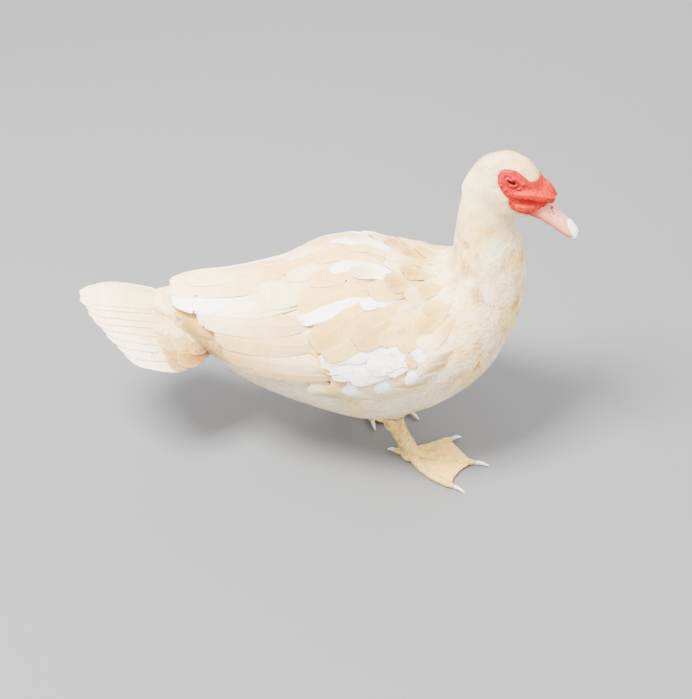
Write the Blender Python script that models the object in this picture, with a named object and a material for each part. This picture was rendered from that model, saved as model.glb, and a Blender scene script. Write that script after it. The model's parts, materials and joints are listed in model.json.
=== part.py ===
"""A muscovy duck hen standing still, life size.

Metres, +X ahead of the bird, +Y to its left, +Z up, with the floor at Z = 0.
"""

import math
import random

import bmesh
import bpy
from mathutils import Matrix, Vector

# The gap kept between two touching solids
GAP = 0.0003
# After a cut or a join, faces that meet flatter than this are run together
FLAT_ANGLE = math.radians(0.3)
# No body here is smaller than this, in cubic metres
LEAST_VOLUME = 5e-8
# Corners nearer than this touch
TOUCHING = 2e-7

# Torso and neck: back edge, belly edge and half width of each section, from tail root to throat
BODY_SECTIONS = (
    ((-0.196, 0.1725), (-0.195, 0.1620), 0.015),
    ((-0.176, 0.1770), (-0.176, 0.1440), 0.024),
    ((-0.138, 0.1815), (-0.142, 0.1110), 0.040),
    ((-0.080, 0.1900), (-0.085, 0.0735), 0.061),
    ((-0.010, 0.2080), (-0.010, 0.0495), 0.0850),
    ((0.038, 0.2090), (0.038, 0.0440), 0.0905),
    ((0.078, 0.2050), (0.0955, 0.0680), 0.0895),
    ((0.0985, 0.2055), (0.1430, 0.1065), 0.078),
    ((0.1045, 0.2165), (0.1655, 0.1460), 0.061),
    ((0.1045, 0.2320), (0.1765, 0.1895), 0.0480),
    ((0.1060, 0.2530), (0.1715, 0.2320), 0.0355),
    ((0.1080, 0.2740), (0.1620, 0.2560), 0.0280),
    ((0.1110, 0.2930), (0.1560, 0.2740), 0.0235),
    ((0.1170, 0.3120), (0.1500, 0.3000), 0.0170),
)
BODY_RINGS = 32
BODY_SIDES = 24
# Parting planes: a point on each and the way that it faces
TAIL_CUT = (Vector((-0.118, 0.0, 0.15)), Vector((-1.0, 0.0, 0.0)))
NECK_CUT = (Vector((0.104, 0.0, 0.226)), Vector((0.56, 0.0, 1.0)))
HEAD_CUT = (Vector((0.108, 0.0, 0.288)), Vector((0.46, 0.0, 1.0)))

# The envelope that the folded wings fill: place along the body, centre height, half height, half width
ENVELOPE = (
    (-0.185, 0.1680, 0.0120, 0.0180),
    (-0.155, 0.1590, 0.0270, 0.0370),
    (-0.114, 0.1410, 0.0490, 0.0560),
    (-0.066, 0.1360, 0.0650, 0.0770),
    (-0.018, 0.1380, 0.0820, 0.0930),
    (0.006, 0.1370, 0.0880, 0.0975),
    (0.054, 0.1340, 0.0810, 0.0985),
    (0.080, 0.1370, 0.0720, 0.0960),
    (0.1015, 0.1420, 0.0640, 0.0925),
    (0.130, 0.1550, 0.0580, 0.0830),
)
# Edges of the folded wing, as degrees up the side of the envelope
WING_LOW_EDGE = (
    (-0.130, 4), (-0.075, 3), (-0.013, 2), (0.020, 10),
    (0.053, 20), (0.082, 27), (0.106, 35), (0.118, 48),
)
WING_HIGH_EDGE = ((-0.130, 92), (-0.020, 93), (0.050, 93), (0.085, 88), (0.102, 74), (0.118, 56))
# Tips of the flight feathers from the lowest to the highest, each as place and degrees
FLIGHT_TIPS = (
    (-0.112, 4), (-0.119, 10), (-0.116, 20), (-0.134, 28),
    (-0.150, 37), (-0.165, 48), (-0.170, 64), (-0.156, 83),
)
# Coverts: name, count, place of the roots and of the tips, degrees of the lowest and the highest, half width
COVERTS = (
    ("greater", 7, 0.036, -0.034, (10, 83), 0.0150),
    ("median", 6, 0.084, 0.016, (20, 81), 0.0160),
)
WING_FRONT = 0.118
WING_BACK = -0.124
WING_CORE_DEPTH = 0.0028

# Head, in its own frame about the middle of the skull: place, top, bottom and half width of each section
HEAD_CENTRE = Vector((0.133, 0.0, 0.305))
HEAD_TURN = math.radians(-15)
HEAD_SECTIONS = (
    (-0.0240, -0.0070, -0.0080, 0.0010),
    (-0.0200, 0.0035, -0.0250, 0.0122),
    (-0.0125, 0.0170, -0.0370, 0.0180),
    (0.0000, 0.0275, -0.0415, 0.0207),
    (0.0140, 0.0330, -0.0400, 0.0207),
    (0.0280, 0.0336, -0.0345, 0.0194),
    (0.0400, 0.0280, -0.0290, 0.0162),
    (0.0490, 0.0165, -0.0235, 0.0122),
    (0.0560, 0.0060, -0.0150, 0.0078),
    (0.0600, -0.0035, -0.0050, 0.0010),
)
# Bare red face, outlined on the side of the head
FACE_OUTLINE = (
    (0.0118, 0.0190), (0.0150, 0.0242), (0.0200, 0.0260), (0.0285, 0.0250), (0.0355, 0.0205),
    (0.0420, 0.0145), (0.0468, 0.0145), (0.0508, 0.0175), (0.0760, 0.0200), (0.0760, -0.0400),
    (0.0490, -0.0400), (0.0430, -0.0230), (0.0330, -0.0180), (0.0262, -0.0125), (0.0240, -0.0065),
    (0.0245, -0.0020), (0.0200, 0.0020), (0.0155, 0.0075), (0.0125, 0.0130),
)
# Fleshy boss over the bill and the two folds on each side of it, from back to front
BOSS = ((0.0420, 0.0, 0.0120), (0.0510, 0.0, 0.0045), (0.0575, 0.0, -0.0025), (0.0612, 0.0, -0.0065))
UPPER_FOLD = (
    (0.0235, 0.0176, 0.0035), (0.0340, 0.0168, 0.0030), (0.0450, 0.0140, 0.0022), (0.0550, 0.0092, -0.0012),
    (0.0618, 0.0025, -0.0052),
)
LOWER_FOLD = (
    (0.0268, 0.0165, -0.0090), (0.0345, 0.0158, -0.0112),
    (0.0430, 0.0130, -0.0118), (0.0510, 0.0095, -0.0108),
)
EYE_CENTRE = Vector((0.0256, 0.0124, 0.0150))
EYE_RADIUS = 0.0055

# Bill: place, ridge height, mouth height and half width of each section
BILL_SECTIONS = (
    (0.0380, 0.0000, -0.0190, 0.0120),
    (0.0500, -0.0075, -0.0225, 0.0112),
    (0.0600, -0.0130, -0.0275, 0.0104),
    (0.0690, -0.0195, -0.0330, 0.0100),
    (0.0770, -0.0270, -0.0380, 0.0098),
    (0.0840, -0.0335, -0.0420, 0.0080),
    (0.0874, -0.0385, -0.0420, 0.0040),
)
LOWER_BILL_DEPTH = 0.0042
MOUTH_GAP = 0.0005
NAIL_CENTRE = Vector((0.0845, 0.0, -0.0365))
NAIL_SIZE = Vector((0.0092, 0.0064, 0.0105))

# Tail fan
TAIL_FEATHERS = 18
TAIL_ROOT = Vector((-0.134, 0.0300, 0.1660))
TAIL_TIP = Vector((-0.264, 0.0600, 0.1712))
TAIL_ROOT_DROP = 0.0420
TAIL_TIP_DROP = 0.0325
TAIL_SIDE_SHORTER = 0.053
TAIL_FEATHER_WIDTH = 0.0105
TAIL_COVERTS = 6

# Legs: top of the thigh, hock, root of the toes, headings of the middle and hind toes, spread of the others
LEGS = {
    "right": (
        Vector((0.040, -0.040, 0.100)), Vector((0.049, -0.0487, 0.0520)), Vector((0.0676, -0.0487, 0.0100)),
        -8.5, 152.0, 1.0,
    ),
    "left": (
        Vector((0.022, 0.045, 0.105)), Vector((0.0075, 0.0580, 0.0520)), Vector((0.0163, 0.0532, 0.0100)),
        -54.0, 176.0, 0.56,
    ),
}
# Front toes: turn from the middle one towards the other foot, length, claw length, bow away from the middle
TOES = {
    "inner": (39.0, 0.0500, 0.0125, 0.0),
    "middle": (0.0, 0.0665, 0.0150, 0.0),
    "outer": (-38.0, 0.0620, 0.0135, 0.0060),
}
HIND_LENGTH = 0.0170
HIND_CLAW = 0.0090
TOE_RADIUS = 0.0050
WEB_THICKNESS = 0.0010

COLOURS = {
    "plumage": ((0.86, 0.76, 0.60), 0.85),
    "flight": ((0.88, 0.79, 0.64), 0.75),
    "face": ((0.82, 0.20, 0.15), 0.50),
    "bill": ((0.86, 0.52, 0.47), 0.45),
    "nail": ((0.92, 0.89, 0.82), 0.40),
    "leg": ((0.74, 0.60, 0.30), 0.60),
    "claw": ((0.80, 0.77, 0.60), 0.40),
    "eye": ((0.05, 0.03, 0.02), 0.10),
}


def clear_scene():
    """Start from an empty scene."""
    for thing in list(bpy.data.objects):
        bpy.data.objects.remove(thing)


def make_materials():
    """One Principled material for each finish."""
    made = {}
    for name, (colour, roughness) in COLOURS.items():
        material = bpy.data.materials.new(name)
        material.use_nodes = True
        shader = material.node_tree.nodes["Principled BSDF"]
        shader.inputs["Base Color"].default_value = (*colour, 1.0)
        shader.inputs["Roughness"].default_value = roughness
        shader.inputs["Metallic"].default_value = 0.0
        made[name] = material
    return made


def blended(rows, place):
    """Catmull-Rom value of a table of rows at a place counted in rows."""
    last = len(rows) - 1
    place = min(max(place, 0.0), last)
    left = min(int(place), last - 1)
    t = place - left
    a, b, c, d = (rows[min(max(left + k, 0), last)] for k in (-1, 0, 1, 2))
    return [
        0.5 * (2 * q + (r - p) * t + (2 * p - 5 * q + 4 * r - s) * t * t + (3 * q - p - 3 * r + s) * t ** 3)
        for p, q, r, s in zip(a, b, c, d)
    ]


def row_at(rows, x):
    """The row of a table sorted by its first column, at x, read along smooth curves."""
    x = min(max(x, rows[0][0]), rows[-1][0])
    for left in range(len(rows) - 1):
        if x <= rows[left + 1][0]:
            share = (x - rows[left][0]) / (rows[left + 1][0] - rows[left][0])
            return blended(rows, left + share)
    return list(rows[-1])


def object_from(mesh_data, name):
    """Write a bmesh into a new object of that name."""
    bmesh.ops.recalc_face_normals(mesh_data, faces=mesh_data.faces)
    mesh = bpy.data.meshes.new(name)
    mesh_data.to_mesh(mesh)
    mesh_data.free()
    made = bpy.data.objects.new(name, mesh)
    bpy.context.scene.collection.objects.link(made)
    return made


def skinned(name, rings):
    """A closed body through rings of the same number of points, with a fan at each end."""
    shape = bmesh.new()
    rows = [[shape.verts.new(point) for point in ring] for ring in rings]
    sides = len(rows[0])
    for here, after in zip(rows, rows[1:]):
        for k in range(sides):
            shape.faces.new((here[k], here[(k + 1) % sides], after[(k + 1) % sides], after[k]))
    for row in (rows[0], rows[-1]):
        middle = shape.verts.new(sum((vert.co for vert in row), Vector()) / sides)
        for k in range(sides):
            shape.faces.new((row[k], row[(k + 1) % sides], middle))
    return object_from(shape, name)


def oval(centre, up, side, sides, power=1.0):
    """A ring about centre with half axes up and side. A power under 1 makes it squarer."""
    ring = []
    for k in range(sides):
        turn = 2 * math.pi * (k + 0.5) / sides
        rise, run = math.sin(turn), math.cos(turn)
        rise = math.copysign(abs(rise) ** power, rise)
        run = math.copysign(abs(run) ** power, run)
        ring.append(centre + up * rise + side * run)
    return ring


def tube(name, path, radii, sides=8, rings=None, flat=1.0, first=None, last=None):
    """A round or flattened tube along a smooth path. first and last set the way its ends face."""
    rings = rings or len(path)
    count = len(path) - 1
    table = [(*point, radius) for point, radius in zip(path, radii)]
    rows = [blended(table, count * k / (rings - 1)) for k in range(rings)]
    made = []
    for k, row in enumerate(rows):
        before, after = rows[max(k - 1, 0)], rows[min(k + 1, rings - 1)]
        ahead = (Vector(after[:3]) - Vector(before[:3])).normalized()
        if k == 0 and first:
            ahead = first
        if k == rings - 1 and last:
            ahead = last
        side = ahead.cross(Vector((0.0, 0.0, 1.0)))
        side = side.normalized() if side.length > 0.01 else Vector((0.0, 1.0, 0.0))
        up = side.cross(ahead)
        made.append(oval(Vector(row[:3]), up * row[3] * flat, side * row[3], sides))
    return skinned(name, made)


def ball(name, centre, radii, detail=2):
    """An ellipsoid on an icosphere."""
    shape = bmesh.new()
    bmesh.ops.create_icosphere(shape, subdivisions=detail, radius=1.0)
    stretch = Matrix.Translation(centre) @ Matrix.Diagonal((*radii, 1.0))
    bmesh.ops.transform(shape, matrix=stretch, verts=shape.verts)
    return object_from(shape, name)


def prism(name, outline, low, high):
    """An outline in X and Z carried across Y from low to high."""
    return skinned(name, [[Vector((x, y, z)) for x, z in outline] for y in (low, high)])


def is_sound(shape):
    """Whether a mesh is closed and touches itself nowhere."""
    closed = all(edge.is_manifold for edge in shape.edges)
    doubles = bmesh.ops.find_doubles(shape, verts=shape.verts, dist=TOUCHING)["targetmap"]
    shape.verts.index_update()
    ends = {frozenset(vert.index for vert in edge.verts) for edge in shape.edges}
    return closed and not doubles and len(ends) == len(shape.edges)


def split_in_three(shape):
    """Cut every face into triangles and take out those that lie back to back."""
    bmesh.ops.triangulate(shape, faces=shape.faces, ngon_method="EAR_CLIP")
    by_corners = {}
    for face in shape.faces:
        by_corners.setdefault(frozenset(face.verts), []).append(face)
    folded = [face for faces in by_corners.values() if len(faces) > 1 for face in faces[:2]]
    bmesh.ops.delete(shape, geom=folded, context="FACES")


def settled(thing):
    """Apply an object's modifiers and keep only its largest closed surface."""
    graph = bpy.context.evaluated_depsgraph_get()
    mesh = bpy.data.meshes.new_from_object(thing.evaluated_get(graph))
    thing.modifiers.clear()
    thing.data = mesh
    shape = bmesh.new()
    shape.from_mesh(mesh)
    bmesh.ops.dissolve_limit(shape, angle_limit=FLAT_ANGLE, verts=shape.verts, edges=shape.edges)
    split_in_three(shape)
    if not is_sound(shape):
        shape.clear()
        shape.from_mesh(mesh)
        split_in_three(shape)
    waiting = set(shape.faces)
    groups = []
    while waiting:
        stack = [waiting.pop()]
        group = []
        while stack:
            face = stack.pop()
            group.append(face)
            for edge in face.edges:
                for near in edge.link_faces:
                    if near in waiting:
                        waiting.remove(near)
                        stack.append(near)
        groups.append(group)

    def volume(group):
        return abs(sum(f.verts[0].co.dot(f.verts[1].co.cross(f.verts[2].co)) for f in group))

    groups.sort(key=volume)
    loose = [face for group in groups[:-1] for face in group]
    bmesh.ops.delete(shape, geom=loose, context="FACES")
    shape.to_mesh(mesh)
    shape.free()
    return thing


def joined(name, pieces):
    """Join closed pieces into one body with one Boolean union on their collection."""
    base, *others = pieces
    group = bpy.data.collections.new(name + "_pieces")
    for piece in others:
        group.objects.link(piece)
    join = base.modifiers.new("Join", "BOOLEAN")
    join.operation = "UNION"
    join.operand_type = "COLLECTION"
    join.collection = group
    join.solver = "MANIFOLD"
    settled(base)
    for piece in others:
        bpy.data.objects.remove(piece)
    bpy.data.collections.remove(group)
    base.name = name
    return base


def is_solid(thing):
    """Whether an object's mesh is closed and holds some volume."""
    shape = bmesh.new()
    shape.from_mesh(thing.data)
    solid = is_sound(shape) and shape.calc_volume() > LEAST_VOLUME
    shape.free()
    return solid


def trimmed(thing, tool, operation="DIFFERENCE", keep_tool=False):
    """Cut a body with a tool, or keep only what both share, by the first solver that leaves it whole."""
    whole = thing.data
    for solver in ("EXACT", "MANIFOLD"):
        thing.data = whole.copy()
        cut = thing.modifiers.new("Cut", "BOOLEAN")
        cut.operation = operation
        cut.object = tool
        cut.solver = solver
        settled(thing)
        if is_solid(thing):
            break
    if not keep_tool:
        bpy.data.objects.remove(tool)
    return thing


def copy_of(thing, name="copy"):
    """A separate copy of an object and its mesh."""
    made = thing.copy()
    made.data = thing.data.copy()
    made.name = name
    bpy.context.scene.collection.objects.link(made)
    return made


def mirrored(thing, name):
    """The same body on the other side of the bird."""
    made = copy_of(thing, name)
    made.data.name = name
    made.data.transform(Matrix.Diagonal((1.0, -1.0, 1.0, 1.0)))
    made.data.flip_normals()
    return made


def grown(thing, by=GAP):
    """A copy pushed out along its normals, used to cut its neighbour with a gap."""
    made = copy_of(thing, thing.name + "_grown")
    normals = [vert.normal.copy() for vert in made.data.vertices]
    for vert, normal in zip(made.data.vertices, normals):
        vert.co += normal * by
    return made


def half_space(cut, behind, gap=0.0):
    """A block that fills one side of a parting plane."""
    point, normal = cut
    normal = normal.normalized()
    if behind:
        normal = -normal
    size = 0.8
    across = normal.orthogonal().normalized()
    along = normal.cross(across)
    corners = [(1, 1), (1, -1), (-1, -1), (-1, 1)]
    rings = [
        [point + normal * depth + (across * a + along * b) * size for a, b in corners]
        for depth in (gap, size)
    ]
    return skinned("block", rings)


def finish(thing, name, material):
    """Name a node, give it its material and shade its round parts smooth."""
    thing.name = name
    thing.data.name = name
    thing.data.materials.clear()
    thing.data.materials.append(material)
    thing.data.shade_smooth()
    thing.data.set_sharp_from_angle(angle=math.radians(40))
    return thing


def body_ring(place):
    """One section of torso and neck, at a place counted in the table's rows."""
    rows = [(*back, *belly, half) for back, belly, half in BODY_SECTIONS]
    back_x, back_z, belly_x, belly_z, half = blended(rows, place)
    back, belly = Vector((back_x, 0.0, back_z)), Vector((belly_x, 0.0, belly_z))
    return oval((back + belly) / 2, (back - belly) / 2, Vector((0.0, half, 0.0)), BODY_SIDES, 0.94)


def make_body():
    """Torso and neck as one smooth body."""
    last = len(BODY_SECTIONS) - 1
    return skinned("body", [body_ring(last * k / (BODY_RINGS - 1)) for k in range(BODY_RINGS)])


def in_head_frame(thing):
    """Turn and carry something drawn in the head's own frame into place."""
    place = Matrix.Translation(HEAD_CENTRE) @ Matrix.Rotation(HEAD_TURN, 4, "Z")
    thing.data.transform(place)
    return thing


def both_sides(point):
    """A point and its mirror image across the head's middle."""
    return [Vector((point[0], side * point[1], point[2])) for side in (-1, 1)]


def make_skull():
    """Feathered head without its crest."""
    rings = []
    count = len(HEAD_SECTIONS) - 1
    for k in range(16):
        x, top, bottom, half = blended(HEAD_SECTIONS, count * k / 15)
        middle = Vector((x, 0.0, (top + bottom) / 2))
        rings.append(oval(middle, Vector((0, 0, (top - bottom) / 2)), Vector((0, half, 0)), 20))
    return skinned("skull", rings)


def skull_top(x):
    """Height and half width of the head at a place along it."""
    _, top, _, half = row_at(HEAD_SECTIONS, x)
    return top, half


def make_crest():
    """Short flat locks that lie from the crown to the nape."""
    locks = []
    rows = ((0.025, 2), (0.014, 3), (0.002, 2))
    for start, count in rows:
        for k in range(count):
            lean = (k - (count - 1) / 2) * 0.48
            path = []
            for step in range(4):
                x = start - 0.0056 * step
                top, half = skull_top(x)
                middle = (top - 0.040) / 2
                reach = 0.0001 + 0.0005 * step
                path.append(Vector((
                    x,
                    (half + reach) * math.sin(lean),
                    middle + (top - middle + reach) * math.cos(lean),
                )))
            radii = (0.0034, 0.0052, 0.0040, 0.0010)
            locks.append(tube(f"lock_{start}_{k}", path, radii, sides=4, flat=0.40))
    return locks


def make_ridges():
    """Fleshy folds, the boss over the bill and the small warts of the bare face."""
    pieces = [tube(
        "boss",
        [Vector(point) for point in BOSS],
        (0.0050, 0.0080, 0.0078, 0.0045), sides=8, rings=6,
    )]
    for side in (-1, 1):
        path = [Vector((x, side * y, z)) for x, y, z in UPPER_FOLD]
        pieces.append(tube("upper_fold", path, (0.0026, 0.0042, 0.0048, 0.0052, 0.0046), sides=7, rings=7))
        path = [Vector((x, side * y, z)) for x, y, z in LOWER_FOLD]
        pieces.append(tube("lower_fold", path, (0.0030, 0.0048, 0.0050, 0.0034), sides=7, rings=5))
    seeded = random.Random(7)
    for k in range(5):
        turn = math.radians(212 + 34 * k)
        reach = 0.0092 + 0.0012 * seeded.random()
        x = EYE_CENTRE.x + reach * math.cos(turn) * 1.15
        z = EYE_CENTRE.z + reach * math.sin(turn) * 0.85
        _, top, bottom, half = row_at(HEAD_SECTIONS, x)
        middle, rise = (top + bottom) / 2, (top - bottom) / 2
        y = half * math.sqrt(max(0.05, 1 - ((z - middle) / rise) ** 2)) - 0.0002
        size = 0.0013 + 0.0006 * seeded.random()
        for point in both_sides((x, y, z)):
            pieces.append(ball("wart", point, (size, size, size), detail=1))
    return pieces


def make_lids():
    """Upper and lower lid round each eye, as a ring that narrows to its corners."""
    pieces = []
    for side in (-1, 1):
        centre = Vector((EYE_CENTRE.x, side * EYE_CENTRE.y, EYE_CENTRE.z))
        rings = []
        for k in range(12):
            turn = 2 * math.pi * k / 12
            out = Vector((math.cos(turn), 0.0, math.sin(turn) * 0.70))
            depth = 0.0052 - 0.0014 * abs(math.cos(turn))
            middle = centre + out * 0.0047 + Vector((0.0, side * depth, 0.0))
            thick = 0.0010 + 0.0003 * abs(math.sin(turn))
            rings.append(oval(middle, out.normalized() * thick, Vector((0.0, side * thick * 1.3, 0.0)), 4))
        shape = bmesh.new()
        rows = [[shape.verts.new(point) for point in ring] for ring in rings]
        for here, after in zip(rows, rows[1:] + rows[:1]):
            for k in range(4):
                shape.faces.new((here[k], here[(k + 1) % 4], after[(k + 1) % 4], after[k]))
        pieces.append(object_from(shape, "lid"))
    return pieces


def bill_ring(row, lower, sides=12):
    """One section of the upper or lower bill."""
    x, ridge, mouth, half = row
    if lower:
        top, bottom = mouth - MOUTH_GAP, mouth - MOUTH_GAP - LOWER_BILL_DEPTH
        half -= 0.0012
    else:
        top, bottom = ridge, mouth
    ring = []
    for k in range(sides):
        turn = 2 * math.pi * (k + 0.5) / sides
        run, rise = math.cos(turn), math.sin(turn)
        flat_side = rise > 0 if lower else rise < 0
        if flat_side:
            z = top if lower else bottom
            y = half * math.copysign(min(1.0, abs(run) * 1.04), run)
            z += (-0.0004 if lower else 0.0004) * (1 - abs(rise))
        else:
            z = bottom if lower else top
            base = top if lower else bottom
            z = base + (z - base) * abs(rise) ** 0.85
            y = half * math.copysign(abs(run) ** 0.8, run)
        ring.append(Vector((x, y, z)))
    return ring


def make_bill():
    """Upper bill, its nail and the lower bill, all in the head's frame."""
    count = len(BILL_SECTIONS) - 1
    rows = [blended(BILL_SECTIONS, count * k / 9) for k in range(10)]
    upper = skinned("bill_upper", [bill_ring(row, False) for row in rows])
    lower_rows = [row for row in rows if row[0] < BILL_SECTIONS[-1][0] - 0.002]
    lower = skinned("bill_lower", [bill_ring(row, True, 12) for row in lower_rows])
    nail_space = ball("nail_space", NAIL_CENTRE, NAIL_SIZE)
    nail = copy_of(upper, "bill_nail")
    trimmed(nail, nail_space, "INTERSECT", keep_tool=True)
    trimmed(upper, grown(nail_space))
    bpy.data.objects.remove(nail_space)
    for side in both_sides((0.0585, 0.0092, -0.0165)):
        trimmed(upper, ball("nostril", side, (0.0027, 0.0022, 0.0012)))
    return upper, nail, lower


def make_head_group(materials, flesh):
    """Head, bare face, eyes and bill, parted from one another by thin gaps."""
    mask = prism("mask", FACE_OUTLINE, -0.03, 0.03)
    skull = make_skull()
    ridges = make_ridges()
    upper, nail, lower = make_bill()
    eyes = [ball("eye", point, (EYE_RADIUS,) * 3) for point in both_sides(EYE_CENTRE)]

    face = trimmed(copy_of(skull, "face"), mask, "INTERSECT", keep_tool=True)
    face = joined("face", [face, *[copy_of(piece) for piece in ridges], *make_lids()])
    head_tools = joined("head_tools", [mask, *ridges])
    crested = joined("crested", [skull, *make_crest()])
    for thing in (face, head_tools, crested, upper, nail, lower, *eyes):
        in_head_frame(thing)

    head = trimmed(copy_of(flesh, "head"), half_space(HEAD_CUT, False), "INTERSECT")
    head = joined("head", [head, crested])
    trimmed(head, half_space(HEAD_CUT, True, -GAP / 2))
    trimmed(head, grown(head_tools))
    bpy.data.objects.remove(head_tools)
    for eye in eyes:
        trimmed(face, grown(eye))
        trimmed(head, grown(eye))
    for part in (upper, lower):
        trimmed(part, grown(face))
        trimmed(part, grown(head))
    finish(head, "head", materials["plumage"])
    finish(face, "face", materials["face"])
    finish(upper, "bill_upper", materials["bill"])
    finish(lower, "bill_lower", materials["bill"])
    finish(nail, "bill_nail", materials["nail"])
    finish(eyes[0], "eye_right", materials["eye"])
    finish(eyes[1], "eye_left", materials["eye"])
    return head


def vane(name, spots, half_widths, tilt, thick, root_sunk=0.0):
    """A flat feather: spots give its centre line and the outward way at each, tilt raises one edge."""
    rings = []
    for k, (point, out) in enumerate(spots):
        before = spots[max(k - 1, 0)][0]
        after = spots[min(k + 1, len(spots) - 1)][0]
        ahead = (after - before).normalized()
        side = out.cross(ahead).normalized()
        half = half_widths[k]
        share = k / (len(spots) - 1)
        low = thick + root_sunk * (1 - share)
        edge = thick * 0.55
        lift = tilt * half
        rings.append([
            point - side * half - out * lift,
            point + out * thick * 0.25,
            point + side * half + out * lift,
            point + side * half * 0.9 + out * (lift - edge - (low - thick) * 0.5),
            point - side * half * 0.9 - out * (lift + edge + (low - thick) * 0.5),
        ])
    return skinned(name, rings)


def envelope_spot(x, degrees, height, side):
    """A point and its outward way on the wing envelope, raised by height."""
    _, middle, rise, half = row_at(ENVELOPE, x)
    turn = math.radians(degrees)
    out = Vector((0.0, side * math.cos(turn) / half, math.sin(turn) / rise)).normalized()
    point = Vector((x, side * half * math.cos(turn), middle + rise * math.sin(turn)))
    return point + out * height, out


def wing_core(side):
    """Folded arm and hand of the wing, a shell that lies on the flank."""
    rings = []
    count = 13
    for k in range(count):
        share = k / (count - 1)
        x = WING_FRONT + (WING_BACK - WING_FRONT) * share
        low = row_at(WING_LOW_EDGE, x)[1]
        high = row_at(WING_HIGH_EDGE, x)[1]
        fade = min(1.0, 4.5 * share + 0.1, 5 * (1 - share) + 0.25) ** 0.5
        outer, inner = [], []
        for step in range(7):
            across = step / 6
            rounding = 0.0055 * abs(2 * across - 1) ** 5
            depth = WING_CORE_DEPTH + rounding + 0.010 * (1 - fade)
            degrees = low + (high - low) * across
            outer.append(envelope_spot(x, degrees, -depth, side)[0])
            if step % 3 == 0:
                inner.append(envelope_spot(x, degrees, -0.030, side)[0])
        rings.append(outer + inner[::-1])
    return skinned("wing_core", rings)


def wing_vane(name, side, root, tip, half_width, height, steps=5, droop=0.0):
    """A feather on the envelope from root to tip, each given as place and degrees."""
    spots, widths = [], []
    for k in range(steps):
        share = k / (steps - 1)
        x = root[0] + (tip[0] - root[0]) * share
        degrees = root[1] + (tip[1] - root[1]) * share
        bend = droop * math.sin(math.pi * share)
        lift = height[0] + (height[1] - height[0]) * share
        spots.append(envelope_spot(x, degrees + bend, lift, side))
        rounded = math.sqrt(max(0.0, 1 - max(0.0, (share - 0.72) / 0.28) ** 2.2))
        widths.append(half_width * (0.62 + 0.38 * min(1.0, share * 2.2)) * max(0.12, rounded))
    free = root[0] < 0.02
    return vane(name, spots, widths, -0.09 * side, 0.0011, 0.0008 if free else 0.0016)


def make_wing(side, name, materials, torso, space):
    """One folded wing: core, flight feathers and three tiers of coverts."""
    pieces = [wing_core(side)]
    for k, tip in enumerate(FLIGHT_TIPS):
        root = (-0.012 - 0.003 * k, 8.0 + 10.7 * k)
        level = -0.0030 + 0.00022 * k
        pieces.append(wing_vane(f"flight_{k}", side, root, tip, 0.0125, (level - 0.0006, level + 0.0008)))
    for tier, count, start, end, (lowest, highest), half_width in COVERTS:
        for k in range(count):
            share = k / (count - 1)
            degrees = lowest + (highest - lowest) * share
            root = (start - 0.010 * share, min(degrees + 7, 85))
            tip = (end - 0.026 * share, degrees)
            pieces.append(wing_vane(f"{tier}_{k}", side, root, tip, half_width, (-0.0027, 0.0004), steps=4))
    wing = joined(name, pieces)
    trimmed(wing, grown(torso))
    trimmed(wing, space, keep_tool=True)
    limit = (Vector((0.0, side * GAP / 2, 0.0)), Vector((0.0, side, 0.0)))
    trimmed(wing, half_space(limit, True))
    return finish(wing, name, materials["flight"])


def tail_spot(across, along):
    """A point and its outward way on the arched tail fan."""
    spread = abs(across)
    root = Vector((TAIL_ROOT.x, TAIL_ROOT.y * across, TAIL_ROOT.z - TAIL_ROOT_DROP * spread ** 2))
    tip = Vector((
        TAIL_TIP.x + TAIL_SIDE_SHORTER * spread ** 1.7,
        TAIL_TIP.y * across,
        TAIL_TIP.z - TAIL_TIP_DROP * spread ** 2,
    ))
    point = root.lerp(tip, along)
    half = TAIL_ROOT.y + (TAIL_TIP.y - TAIL_ROOT.y) * math.sqrt(max(0.0, along))
    point.y = half * across
    point.z -= 0.004 * math.sin(math.pi * along)
    drop = TAIL_ROOT_DROP + (TAIL_TIP_DROP - TAIL_ROOT_DROP) * along
    out = Vector((0.0, 2 * drop * across / half, 1.0)).normalized()
    return point, out


def tail_space(tail_core):
    """The room that the tail and its coverts take up, as one smooth body."""
    rings = []
    for step in range(9):
        along = -0.10 + 1.0 * step / 8
        high = 0.0052 if along < 0.5 else 0.0036
        top, bottom = [], []
        for k in range(9):
            point, out = tail_spot((2 * k / 8 - 1) * 1.10, along)
            top.append(point + out * high)
            bottom.append(point - out * 0.0050)
        rings.append(top + bottom[::-1])
    return joined("tail_space", [skinned("fan_space", rings), grown(tail_core)])


def make_tail(materials, flesh):
    """Fan of tail feathers with their coverts, on the end of the body."""
    core = trimmed(copy_of(flesh, "tail_core"), half_space(TAIL_CUT, False, -0.002), "INTERSECT")
    space = tail_space(core)
    pieces = [core]
    for k in range(TAIL_FEATHERS):
        across = 2 * k / (TAIL_FEATHERS - 1) - 1
        spots, widths = [], []
        for share in (0.0, 0.16, 0.50, 0.86, 1.0):
            point, out = tail_spot(across, share)
            spots.append((point - out * 0.0022 * abs(across), out))
            rounded = math.sqrt(max(0.0, 1 - max(0.0, (share - 0.78) / 0.22) ** 2.4))
            widths.append(TAIL_FEATHER_WIDTH * (0.75 + 0.25 * min(1.0, 1.6 * share)) * max(0.14, rounded))
        pieces.append(vane(f"tail_{k}", spots, widths, -0.10 * math.copysign(1, across), 0.0011, 0.001))
    for k in range(TAIL_COVERTS):
        across = (2 * k / (TAIL_COVERTS - 1) - 1) * 0.90
        spots = []
        for share in (0.0, 0.45, 0.85, 1.0):
            point, out = tail_spot(across, 0.16 + 0.42 * share)
            spots.append((point + out * (0.0036 - 0.0024 * share), out))
        pieces.append(vane(f"covert_{k}", spots, (0.0120, 0.0150, 0.0120, 0.0025), 0.0, 0.0012, 0.003))
    tail = joined("tail", pieces)
    trimmed(tail, half_space(TAIL_CUT, True, -GAP / 2))
    finish(tail, "tail", materials["flight"])
    return space


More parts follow.
